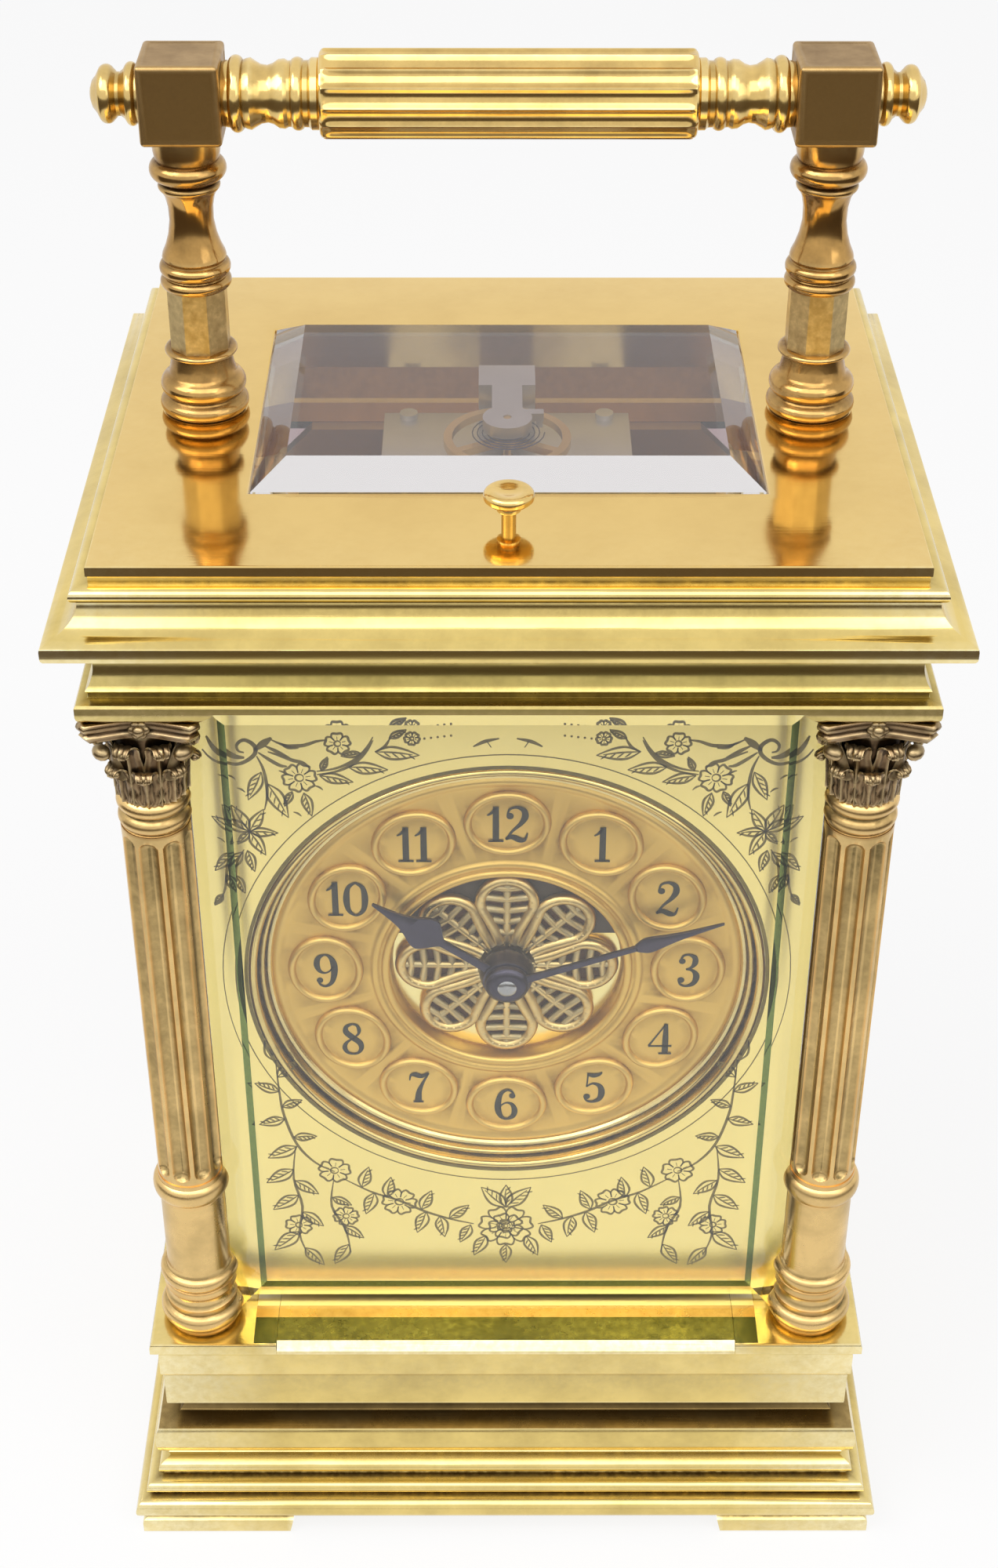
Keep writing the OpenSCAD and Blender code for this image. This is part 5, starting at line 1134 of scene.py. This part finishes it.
# %% A stroke with a changing width
def thickened(bm, thick):
    """Raises a flat shape to a thin body."""
    top = bmesh.ops.extrude_face_region(bm, geom=list(bm.faces))["geom"]
    bmesh.ops.translate(bm, vec=(0, 0, thick), verts=pick(top, bmesh.types.BMVert))
    return bm


def stroke(points, lift, thick, steps=6):
    """A flat stroke along a path of (x, y, width), standing from lift to lift plus thick."""
    dense = smooth_path(points, steps)
    last = len(dense) - 1
    rings = []
    for index, (x, y, width) in enumerate(dense):
        ahead, behind = dense[min(index + 1, last)], dense[max(index - 1, 0)]
        along = Vector((ahead[0] - behind[0], ahead[1] - behind[1]))
        across = Vector((-along.y, along.x)).normalized() * max(width, 0.01) / 2
        rings.append([(x + side * across.x, y + side * across.y, lift) for side in SIDES])
    bm = bmesh.new()
    pair = [bm.verts.new((0, 0, 0)), bm.verts.new((1, 0, 0))]
    loft(bm, pair, [bm.edges.new(pair)], rings)
    return thickened(bm, thick)


def dot(x, y, radius, lift, thick):
    """A small round spot."""
    bm = bmesh.new()
    bmesh.ops.create_circle(bm, cap_ends=True, segments=20, radius=radius,
                            matrix=Matrix.Translation((x, y, lift)))
    return thickened(bm, thick)


# %% [markdown]
# ## Numerals
# The hours are upright figures with thick stems, hairlines and ball ends, as French engravers
# drew them. Each figure has a width, a few strokes for its thick and thin parts, and dots for its
# balls, all in hundredths of its height.

# %% The ten figures
FIGURES = {
    "0": (62, [[(31, 99, 5), (14, 84, 11), (9, 50, 16), (14, 16, 11), (31, 1, 5), (48, 16, 11), (53, 50, 16),
          (48, 84, 11), (31, 99, 5)]], []),
    "1": (42, [[(24, 0, 15), (24, 50, 15), (24, 100, 14)], [(4, 76, 3), (14, 83, 6), (24, 98, 7)], [(6, 2, 4.5),
          (24, 2.5, 5), (42, 2, 4.5)]], []),
    "2": (60, [[(9, 76, 5), (14, 93, 5), (31, 99, 7), (47, 90, 13), (50, 72, 16), (40, 52, 11), (20, 30, 6),
          (6, 6, 5)], [(5, 8, 6), (20, 14, 13), (38, 5, 14), (50, 6, 7), (56, 24, 3)]], [(15, 74, 8.5)]),
    "3": (58, [[(10, 80, 5), (16, 95, 5), (30, 99, 6), (44, 90, 13), (45, 73, 14), (36, 59, 7), (24, 54, 4)],
          [(24, 54, 4), (40, 50, 8), (50, 33, 16), (44, 10, 12), (27, 1, 6), (12, 6, 5), (7, 20, 5)]],
          [(14, 79, 8), (13, 20, 8.5)]),
    "4": (62, [[(44, 0, 15), (44, 50, 15), (44, 98, 10)], [(44, 99, 4), (24, 64, 4), (3, 28, 5)], [(2, 27, 5),
          (30, 27, 5), (60, 27, 5)], [(28, 2, 4.5), (44, 2.5, 5), (60, 2, 4.5)]], []),
    "5": (60, [[(15, 97, 5), (14, 75, 4), (12, 52, 4)], [(12, 53, 4), (28, 63, 6), (45, 54, 13), (50, 32, 17),
          (44, 10, 12), (27, 1, 6), (13, 5, 5), (7, 18, 5)], [(14, 94, 7), (28, 90, 13), (42, 93, 9),
          (50, 100, 3)]], [(13, 19, 8.5)]),
    "6": (60, [[(50, 80, 5), (44, 94, 5), (31, 99, 6), (16, 86, 11), (9, 55, 16), (10, 28, 16), (18, 8, 10),
          (31, 1, 5), (46, 10, 12), (51, 30, 15), (45, 50, 10), (32, 57, 5), (19, 50, 4), (12, 36, 4)]],
          [(45, 80, 8)]),
    "7": (58, [[(6, 74, 3), (9, 90, 6), (20, 93, 14), (36, 88, 12), (54, 98, 4)], [(54, 97, 4), (40, 68, 7),
          (30, 40, 13), (27, 15, 17), (27, 0, 17)], [(14, 1.5, 4), (27, 2, 5), (40, 1.5, 4)]], []),
    "8": (60, [[(30, 99, 5), (15, 90, 10), (14, 73, 15), (30, 55, 16), (47, 38, 15), (50, 20, 12), (42, 5, 7),
          (30, 1, 5)], [(30, 1, 5), (16, 6, 8), (9, 22, 12), (14, 38, 8), (30, 53, 4), (43, 66, 6),
          (46, 80, 10), (41, 94, 7), (30, 99, 5)]], []),
    "9": (60, [[(10, 20, 5), (16, 6, 5), (29, 1, 6), (44, 14, 11), (51, 45, 16), (50, 72, 16), (42, 92, 10),
          (29, 99, 5), (14, 90, 12), (9, 70, 15), (15, 50, 10), (28, 43, 5), (41, 50, 4), (48, 64, 4)]],
          [(15, 20, 8)]),
}
FIGURE_UNIT = 0.05


def numeral(bm, text, x, y, lift):
    """Draws the figures of an hour round the point (x, y)."""
    start = -sum(FIGURES[sign][0] for sign in text) / 2
    for sign in text:
        width, strokes, balls = FIGURES[sign]

        def placed(points):
            return [(x + FIGURE_UNIT * (start + px), y + FIGURE_UNIT * (py - 50), FIGURE_UNIT * size)
                    for px, py, size in points]
        for points in strokes:
            join(bm, stroke(placed(points), lift, 0.06, steps=7))
        for px, py, radius in placed(balls):
            join(bm, dot(px, py, radius, lift, 0.062))
        start += width


figures = bmesh.new()
for hour in range(1, 13):
    angle = math.radians(90 - 30 * hour)
    numeral(figures, str(hour), PLAQUE_CIRCLE * math.cos(angle), PLAQUE_CIRCLE * math.sin(angle), 26.47)
finish_piece(figures, "enamel_hours", enamel, merge=0.0001, reach=0, place=ON_DIAL)

# %% [markdown]
# ## The rosette
# The deep centre has a pale gilt floor, and its upper part, which lies in the shade of the ring,
# is painted dark as painted shade. Over it lie eight pierced petals. Each petal is a beaded rim
# round a middle rib, and cross ribs between them leave two columns of oval openings, through
# which a dark ground shows.

# %% Floor of the centre
def recess_floor(side):
    """The half of the floor that lies above (1) or below (-1) the edge of the shade."""
    bm = turned([(2.6, FLOOR + 0.02), (8.0, FLOOR + 0.02), (13.9, FLOOR + 0.02), (13.9, 24.0), (2.6, 24.0),
                 (2.6, FLOOR + 0.02)], 120)
    keep_beyond(bm, (0, 4.2, 0), (0, side, 0))
    return bm


# The upper half takes the painted shade, and the lower half stays gilt.
finish_piece(recess_floor(1), "shaded_floor", recess_shade, reach=0, place=ON_DIAL)
finish_piece(recess_floor(-1), "gilt_floor", gilt_mask, reach=0, place=ON_DIAL)

# %% One petal, eight times
WIRE_LIFT = 24.95
RIM_WIRE = 0.72
RIB_WIRE = 0.5
PETAL_MIDDLE = 9.6
petal_outline = [(0.9, 3.4), (1.5, 5.4), (2.6, 7.8)]
petal_outline += [(3.2 * math.cos(a), PETAL_MIDDLE + 3.3 * math.sin(a))
                  for a in [math.radians(d) for d in range(-12, 193, 17)]]
petal_outline += [(-2.6, 7.8), (-1.5, 5.4), (-0.9, 3.4)]


def petal_mesh():
    bm = bmesh.new()
    rim = [(x, y, WIRE_LIFT + 0.25) for x, y in smooth_path(petal_outline, 3)]
    join(bm, swept(rim, [RIM_WIRE] * len(rim)))
    ribs = [[(0, 3.0, 0.15), (0, 7.0, 0.3), (0, 12.4, 0.15)]]
    ribs += [[(-wide, low + 0.3, 0.1), (0, low, 0.25), (wide, low + 0.3, 0.1)]
             for low, wide in ((4.9, 1.3), (6.6, 2.0), (8.3, 2.8), (10.0, 3.0), (11.6, 2.4))]
    for rib in ribs:
        join(bm, swept([(x, y, WIRE_LIFT + up) for x, y, up in rib], [RIB_WIRE] * 3))
    for step in range(15):
        angle = math.radians(-28 + step * 236 / 14)
        join(bm, ball(0.36, (3.15 * math.cos(angle), PETAL_MIDDLE + 3.25 * math.sin(angle), WIRE_LIFT + 0.62)))
    return as_mesh(bm)


def petal_ground():
    """A thin dark leaf behind the openings of a petal."""
    bm = bmesh.new()
    bmesh.ops.create_circle(bm, segments=len(petal_outline), radius=1.0, cap_ends=True)
    for vert, (x, y) in zip(bm.verts, petal_outline):
        vert.co = (x, y, WIRE_LIFT - 0.25)
    return as_mesh(bm)


petal = petal_mesh()
ground = petal_ground()
rosette = turned([(2.5, 24.5), (4.2, 24.5), (4.3, 25.0), (4.1, 25.4), (3.6, 25.6), (3.2, 25.4), (2.5, 25.5),
                  (2.5, 24.5)], 48)
grounds = bmesh.new()
for step in range(8):
    turn = Matrix.Rotation(math.radians(45 * step), 4, "Z")
    stamp(rosette, petal, turn)
    stamp(grounds, ground, turn)
bmesh.ops.solidify(grounds, geom=grounds.faces, thickness=0.1)
finish_piece(rosette, "pierced_rosette", filigree_gilt, replaces=["dial_rosette"], crisp=50,
             merge=0.0002, reach=1.2, place=ON_DIAL)
finish_piece(grounds, "petal_grounds", petal_dark, merge=0.0002, reach=0, place=ON_DIAL)

# %% [markdown]
# ## The hands
# Both hands are filed from sheet steel and blued. The hour hand is a spade with hollow sides,
# and the minute hand a slim leaf. A stroke whose width swells gives the blade, and its edges
# are bevelled as a file would do it. Each hand carries its collet, and rides on its own body.
# A steel pin closes the middle.

# %% Hands
HOUR_LIFT = 27.9
MINUTE_LIFT = 28.9


def blade(widths, lift, angle):
    """A hand of (distance from the middle, width), turned clockwise by an angle."""
    bm = stroke([(0, along, width) for along, width in widths], lift, 0.45, steps=8)
    sharp = [edge for edge in bm.edges if edge.is_manifold and edge.calc_face_angle(0) > 1.0]
    bmesh.ops.bevel(bm, geom=sharp, offset=0.12, segments=2, profile=0.5, affect="EDGES", material=-1,
                    offset_type="OFFSET")
    bmesh.ops.transform(bm, matrix=Matrix.Rotation(math.radians(-angle), 4, "Z"), verts=bm.verts)
    return bm


hour = blade([(1.5, 1.5), (4.0, 1.15), (8.8, 1.0), (9.8, 1.3), (10.8, 3.4), (11.8, 4.9), (12.9, 4.5),
              (14.2, 3.0), (15.6, 1.8), (17.6, 0.95), (19.7, 0.3)], HOUR_LIFT, 305.8)
join(hour, turned([(1.9, 24.7), (2.25, 24.8), (2.3, 26.2), (3.2, 26.35), (3.35, 26.7), (3.3, 27.3), (3.1, 28.1),
                   (2.9, 28.6), (2.6, 28.72), (1.9, 28.72), (1.9, 24.7)], 48))
finish_piece(hour, "spade_hand", hand_steel, body="hour_hand", replaces=["hour_hand"],
             merge=0.0005, reach=0, place=ON_DIAL)
minute = blade([(1.5, 1.3), (5.0, 0.95), (15.6, 0.75), (16.4, 1.0), (17.6, 2.1), (18.8, 2.0), (20.6, 1.35),
                (22.6, 0.85), (24.8, 0.55), (27.4, 0.22)], MINUTE_LIFT, 70)
join(minute, turned([(0.7, 28.75), (2.7, 28.8), (2.75, 29.0), (2.6, 29.4), *arc(1.6, 29.3, 0.9, 0.55, 20, 80, 6),
                     (0.5, 29.85), (0.0, 29.85)], 48))
finish_piece(minute, "leaf_hand", hand_steel, body="minute_hand", replaces=["minute_hand"],
             merge=0.0005, reach=0, place=ON_DIAL)
pin = turned([(0.0, 29.7), (1.1, 29.7), (1.15, 29.95), (0.95, 30.1), (0.5, 30.15), (0.0, 30.15)], 40)
finish_piece(pin, "centre_pin", steel, body="minute_hand", reach=0, place=ON_DIAL)

# %% [markdown]
# ## Engraving on the mask
# The mask is engraved with flowering branches, a scroll in each upper corner and a rose under
# the dial. Here each cut is a thin raised stroke, painted dark as the shade in its groove. A leaf
# is an outline and a midrib with a few shading cuts, and a flower is a ring of petals. The
# design is drawn on the left half, in millimetres from the middle of the dial, and mirrored.

# %% Leaves and flowers
MASK_FACE = -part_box("dial_mask")[0].y / MM
CUT = 0.03


def cut_line(bm, points, width=0.22):
    """A cut that starts and ends thin."""
    last = len(points) - 1
    swelling = [1.5 * width * (0.35 + 0.65 * math.sin(math.pi * index / last)) for index in range(last + 1)]
    join(bm, stroke([(x, y, w) for (x, y), w in zip(points, swelling)], MASK_FACE, CUT, steps=4))


def engraved_leaf(bm, root, tip, width=0.34, cuts=4):
    """A pointed leaf from root to tip: two edges, a midrib and cuts on its shaded side."""
    start, along = Vector(root), Vector(tip) - Vector(root)
    across = Vector((-along.y, along.x)) * width

    def cut(shares, wide):
        cut_line(bm, [tuple(start + along * forth + across * aside) for forth, aside in shares], wide)
    for side in SIDES:
        cut([(0, 0), (0.3, 0.46 * side), (0.62, 0.4 * side), (1, 0)], 0.2)
    cut([(0, 0), (0.45, 0.06), (0.85, 0)], 0.15)
    for step in range(cuts):
        share = 0.2 + 0.55 * step / max(1, cuts - 1)
        cut([(share, 0), (share + 0.08, -0.18), (share + 0.16, -0.34)], 0.13)


def engraved_flower(bm, middle, radius, petals=5, turn=0.0):
    """A round flower: petals with notched ends, a ring and dots in its eye."""
    def spot(bearing, out):
        return (middle[0] + math.cos(bearing) * radius * out, middle[1] + math.sin(bearing) * radius * out)
    for step in range(petals):
        angle = math.radians(turn + 360 * step / petals)
        cut_line(bm, [spot(angle + share * math.pi / petals, out)
                      for share, out in ((-0.92, 0.36), (-0.95, 0.75), (-0.55, 0.98), (0.0, 0.9), (0.55, 0.98),
                                         (0.95, 0.75), (0.92, 0.36))], 0.2)
        cut_line(bm, [spot(angle, 0.36), spot(angle, 0.36 * 1.8)], 0.14)
    cut_line(bm, [spot(math.radians(40 * step), 0.24) for step in range(10)], 0.16)


def engraved_star(bm, middle, tips, width=0.36):
    """A lily: pointed petals from one middle to the given tips."""
    for tip in tips:
        engraved_leaf(bm, middle, tip, width, cuts=3)


# %% The design, left half
# Each cut of the design is drawn dark, as painted shade of its groove.
cut_strokes = bmesh.new()
# The scroll in the corner, and its inner stroke
cut_line(cut_strokes, [(-33.6, 33.7), (-32.9, 32.8), (-32.0, 32.2), (-30.7, 31.9), (-29.5, 32.4), (-28.6, 33.3),
    (-28.5, 34.2), (-28.9, 34.8), (-29.6, 35.2), (-30.2, 35.0), (-30.6, 34.4), (-30.4, 33.7), (-29.8, 33.5)],
    0.34)
cut_line(cut_strokes, [(-33.0, 35.6), (-32.4, 34.3), (-31.6, 33.4), (-30.7, 32.9), (-29.8, 32.8)], 0.5)
# Ribbons that leave the knot to the right
cut_line(cut_strokes, [(-28.6, 33.8), (-27.6, 34.7), (-26.6, 35.5)], 0.6)
for points in ([(-26.6, 35.2), (-25.2, 34.5), (-24.0, 34.4), (-22.9, 34.5), (-21.6, 35.0), (-20.4, 35.2)],
        [(-27.4, 34.4), (-26.2, 33.7), (-24.7, 32.8)], [(-28.2, 33.5), (-27.1, 32.6), (-25.8, 31.7),
        (-25.0, 31.6)], [(-27.1, 33.6), (-25.6, 33.0), (-24.3, 32.4), (-23.2, 32.1), (-22.5, 31.4)],
        [(-25.7, 34.8), (-24.8, 34.2), (-23.6, 34.1)]):
    cut_line(cut_strokes, points, 0.3)
# Two lines of a stem sweep round from the flower to the top
for shift in (0.0, 0.45):
    cut_line(cut_strokes, [(-15.2, 35.6 - shift), (-15.9, 34.2 - shift), (-17.0, 32.8 - shift), (-18.4, 31.8 - shift),
        (-19.9, 31.2 - shift), (-21.7, 30.9 - shift)], 0.24)
cut_line(cut_strokes, [(-15.0, 33.6), (-13.9, 34.3), (-13.2, 35.6)], 0.24)
# The stem that goes down beside the dial
cut_line(cut_strokes, [(-28.4, 33.0), (-27.8, 31.4), (-27.5, 29.4), (-27.5, 27.4), (-27.9, 25.5)], 0.26)
cut_line(cut_strokes, [(-30.6, 19.8), (-31.5, 18.0), (-31.8, 16.0), (-32.1, 14.0), (-32.8, 12.0)], 0.24)
for x, y, tip_x, tip_y in ((-15.0, 33.6, -10.0, 33.1), (-18.1, 31.5, -13.6, 31.1), (-21.4, 30.3, -17.6, 29.4),
        (-28.0, 30.8, -29.7, 26.9), (-27.4, 29.2, -25.2, 24.4), (-23.3, 27.9, -22.5, 24.6),
        (-24.6, 28.1, -25.6, 26.0), (-30.7, 19.5, -33.2, 16.5), (-30.2, 19.7, -29.5, 16.6),
        (-31.8, 16.1, -30.8, 13.4), (-32.4, 13.1, -33.6, 11.3), (-16.6, 33.4, -18.9, 33.0),
        (-13.4, 35.4, -11.4, 36.6), (-21.2, 31.0, -20.4, 32.9)):
    engraved_leaf(cut_strokes, (x, y), (tip_x, tip_y))
engraved_flower(cut_strokes, (-19.2, 34.7), 1.5, 5, 20)
engraved_flower(cut_strokes, (-23.7, 30.0), 2.0, 6, 10)
engraved_flower(cut_strokes, (-10.8, 35.4), 0.9, 5, 50)
engraved_star(cut_strokes, (-29.8, 22.4), [(-31.7, 26.2), (-28.0, 25.6), (-26.5, 22.2), (-28.1, 19.0), (-31.3, 20.6),
    (-33.1, 24.4)])
for step in range(5):
    join(cut_strokes, dot(-9.4 + 0.75 * step, 35.4 + 0.1 * step, 0.14, MASK_FACE, CUT))
for x, y in ((-30.9, 28.6), (-26.0, 31.0), (-31.9, 30.4), (-24.6, 25.2), (-22.0, 28.9), (-32.6, 21.4)):
    cut_line(cut_strokes, [(x, y), (x + 0.5, y - 0.2), (x + 0.9, y - 0.6)], 0.16)
cut_line(cut_strokes, [(-3.9, 34.3), (-2.6, 35.0), (-1.0, 35.4)], 0.3)
cut_line(cut_strokes, [(-2.4, 35.1), (-1.9, 34.2)], 0.22)

# The branch below the dial climbs the side and runs to the rose
for points in ([(-28.6, -13.0), (-28.4, -18.0), (-28.0, -22.0), (-26.6, -27.0), (-24.4, -30.2), (-22.0, -31.8)],
        [(-26.8, -27.4), (-27.3, -33.0), (-26.4, -38.0), (-27.0, -43.0), (-26.0, -47.0)], [(-22.2, -33.4),
        (-22.6, -38.0), (-21.0, -42.0), (-20.4, -46.4)], [(-21.0, -33.0), (-17.4, -35.4), (-13.8, -37.0),
        (-10.4, -39.0), (-7.0, -40.4), (-4.2, -41.2)]):
    cut_line(cut_strokes, points, 0.24)
for x, y, tip_x, tip_y in ((-28.6, -13.0, -29.6, -9.0), (-28.5, -15.6, -26.2, -13.0),
        (-28.4, -18.0, -31.4, -16.6), (-28.2, -20.6, -25.6, -19.4), (-27.9, -22.6, -31.2, -23.6),
        (-27.0, -25.8, -24.0, -25.6), (-26.6, -27.4, -30.4, -29.4), (-27.2, -31.4, -30.8, -33.8),
        (-27.2, -33.4, -24.2, -35.8), (-26.8, -36.0, -30.2, -38.6), (-26.5, -39.0, -23.8, -41.6),
        (-27.0, -42.6, -30.4, -46.0), (-26.4, -45.6, -24.0, -48.8), (-22.5, -36.4, -20.0, -37.8),
        (-21.2, -41.6, -18.6, -43.8), (-20.6, -45.0, -22.6, -48.6), (-18.6, -34.6, -17.6, -31.0),
        (-17.0, -35.6, -18.2, -39.4), (-11.0, -38.6, -9.6, -35.2), (-10.4, -39.0, -11.6, -42.8),
        (-8.6, -39.8, -8.0, -43.6), (-7.4, -40.2, -4.8, -37.8), (-15.4, -36.4, -14.8, -32.8),
        (-4.6, -41.4, -6.0, -44.6)):
    engraved_leaf(cut_strokes, (x, y), (tip_x, tip_y), 0.42)
engraved_flower(cut_strokes, (-22.0, -31.6), 2.1, 5, 80)
engraved_flower(cut_strokes, (-27.0, -41.4), 1.8, 5, 30)
engraved_flower(cut_strokes, (-20.8, -39.8), 1.7, 6, 15)
engraved_flower(cut_strokes, (-13.8, -37.2), 2.3, 6, 50)
left_half = as_mesh(cut_strokes)
cut_strokes = bmesh.new()
for side in SIDES:
    stamp(cut_strokes, left_half, Matrix.Diagonal((side, 1, 1, 1)))

# %% The rose and the bell flower in the middle
for radius, petals, turn in ((3.6, 7, 12), (2.3, 5, 40), (1.2, 4, 10)):
    engraved_flower(cut_strokes, (0.0, -41.6), radius, petals, turn)
for x, y, tip_x, tip_y in ((0.0, -38.2, -3.2, -34.6), (0.0, -38.2, 0.0, -34.2), (0.0, -38.2, 3.2, -34.6),
        (-2.6, -43.4, -4.2, -47.0), (2.6, -43.4, 4.2, -47.0), (0.0, -45.0, 0.0, -48.4)):
    engraved_leaf(cut_strokes, (x, y), (tip_x, tip_y), 0.42)
# A broad dark band lies along the hole of the mask, painted shade at the edge of the bezel, and a fine cut follows
# it
for radius, width in ((31.45, 0.45), (33.2, 0.13)):
    border = [round_place(radius, math.radians(6 * step), width) for step in range(61)]
    join(cut_strokes, stroke(border, MASK_FACE, CUT, steps=2))
finish_piece(cut_strokes, "shaded_engraving", cut_shade, merge=0.0001, reach=0, place=ON_DIAL)

# %% [markdown]
# ## The front pane
# The front pane is crystal with a wide ground bevel. Where the bevel begins, the ground edge
# catches the dark inside of the case and shows as a green line down both sides and along the
# bottom. The pane is a rectangle that is extruded from its back edge to its front face, and
# the narrow faces round the start of the bevel get a dark green tint: a painted reflection that
# draws this line.

# %% Front pane
pane_low, pane_high = (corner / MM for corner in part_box("front_glass"))
BEVEL_SIDE = 4.7
BEVEL_TOP = pane_high.z - 128.6
BEVEL_BOTTOM = 41.0 - pane_low.z
BEVEL_DEEP = 1.6
EDGE_DEEP = 0.22
EDGE_WIDE = 0.85
EDGE_TALL = 1.3


def front_pane():
    """Rings from the back edge of the pane to its front face, each with its margins."""
    top_share = (BEVEL_DEEP - EDGE_DEEP) / BEVEL_DEEP
    rings = []
    for margin, margin_low, margin_high, y in (
            (0.0, 0.0, 0.0, pane_high.y), (0.0, 0.0, 0.0, pane_low.y + BEVEL_DEEP),
            (BEVEL_SIDE - EDGE_WIDE, BEVEL_BOTTOM - EDGE_TALL, BEVEL_TOP * top_share, pane_low.y + EDGE_DEEP),
            (BEVEL_SIDE, BEVEL_BOTTOM, BEVEL_TOP, pane_low.y)):
        heights = {-1: pane_low.z + margin_low, 1: pane_high.z - margin_high}
        rings.append([(side * (pane_high.x - margin), y, heights[end]) for side, end in CORNERS])
    bm = bmesh.new()
    ring, back = square_loop(bm)
    front = loft(bm, ring, back, rings)
    for edges in (back, front):
        bmesh.ops.holes_fill(bm, edges=edges, sides=0)
    # The narrow faces take the dark green painted reflection.
    for face in bm.faces:
        spot = face.calc_center_median()
        narrow = pane_low.y + 0.05 < spot.y < pane_low.y + 0.2
        face.material_index = 1 if narrow and spot.z < pane_high.z - BEVEL_TOP - 5 else 0
    return bm


pane = finish_piece(front_pane(), "bevelled_front_pane", pane_glass, replaces=["front_glass"],
                    crisp=5, reach=0)
pane.data.materials.append(painted_edge_reflection)

# %% [markdown]
# ## Floor, light and camera
# The clock stands on a pale floor in a bright room. Metal shows what it mirrors, and upright
# faces mirror what lies in front of the clock. A dark card lies there on the floor, beyond a
# quarter of a metre. Only mirrored, bent and scattered light meets it: the camera itself sees a
# pale floor everywhere. The card gives the posts and the blocks their brown reflections. Three
# soft lamps light the clock, and the broad one above its front whitens the cove of the cornice.
# The camera looks down on the clock, as the photographer did.

# %% Floor
CARD_BEGINS = 0.25
CARD_FADES = 0.035
CARD_SIDE_FADES = 0.08
FLOOR_GLOWS = 0.84
DARK_CARD = (0.12, 0.095, 0.075, 1.0)
WHITE = (1.0, 1.0, 1.0, 1.0)
bm = bmesh.new()
bmesh.ops.create_grid(bm, x_segments=1, y_segments=1, size=3.0)
floor = add_object("floor", as_mesh(bm, "floor"))
paper, tree, shader = new_material("white paper")
place = put(tree, "TexCoord").outputs["Object"]
away = put(tree, "VectorMath", {0: place}, operation="LENGTH").outputs["Value"]
ahead = put(tree, "SeparateXYZ", {"Vector": place}).outputs["Y"]
pale = combine(tree, "MAXIMUM", stretch(tree, away, CARD_BEGINS, CARD_BEGINS - CARD_FADES),
               stretch(tree, ahead, 0.0, CARD_SIDE_FADES))
pale = combine(tree, "MAXIMUM", pale, any_ray(tree, "Camera"))
feed(tree, shader, {"Roughness": 0.9, "Base Color": blend_colours(tree, pale, DARK_CARD, (0.95, 0.94, 0.96, 1.0))})
glow = put(tree, "Emission", {"Color": blend_colours(tree, pale, DARK_CARD, WHITE), "Strength": 1.0})
share = combine(tree, "MULTIPLY", any_ray(tree, "Camera", "Glossy", "Transmission"), FLOOR_GLOWS)
surface = blend_shaders(tree, share, shader.outputs["BSDF"], glow.outputs["Emission"])
tree.links.new(surface, tree.nodes["Material Output"].inputs["Surface"])
floor.data.materials.append(paper)

# %% Room
ROOM_LIGHT = 0.42
world = bpy.data.worlds.new("studio")
bpy.context.scene.world = world
world.use_nodes = True
tree = world.node_tree
looked_at = any_ray(tree, "Glossy", "Transmission", "Camera")
strength = stretch(tree, looked_at, 0.0, 1.0, ROOM_LIGHT, 1.0)
feed(tree, tree.nodes["Background"], {"Color": WHITE, "Strength": strength})


# %% Lamps
def lamp(name, place, width, power, height=None):
    """A soft lamp that points at the middle of the clock."""
    data = bpy.data.lights.new(name, "AREA")
    data.shape = "RECTANGLE"
    data.size = width
    data.size_y = height or width
    data.energy = power
    light = add_object(name, data)
    light.location = place
    light.rotation_euler = (Vector((0, 0, 0.09)) - Vector(place)).to_track_quat("-Z", "Y").to_euler()


lamp("window", (-0.55, -0.25, 0.75), 0.5, 2.6)
lamp("fill", (0.6, -0.5, 0.55), 0.5, 0.8)
lamp("broad lamp over the front", (0, -0.60, 0.95), 1.3, 5.5, height=0.7)

# %% Camera
camera = add_object("camera", bpy.data.cameras.new("camera"))
camera.data.sensor_fit = "VERTICAL"
camera.data.sensor_height = 36.0
camera.data.lens = 56.24
camera.data.clip_start = 0.01
pitch, yaw, roll = math.radians(35.463), math.radians(0.184), math.radians(0.0999)
ahead = Vector((math.sin(yaw) * math.cos(pitch), math.cos(yaw) * math.cos(pitch), -math.sin(pitch)))
right = ahead.cross(Vector((0, 0, 1))).normalized()
up = right.cross(ahead)
tilted_right = math.cos(roll) * right + math.sin(roll) * up
tilted_up = -math.sin(roll) * right + math.cos(roll) * up
turn = Matrix((tilted_right, tilted_up, -ahead)).transposed().to_4x4()
camera.matrix_world = Matrix.Translation((-0.00173, -0.25694, 0.27955)) @ turn
bpy.context.scene.camera = camera
bpy.context.scene.view_settings.view_transform = "Standard"
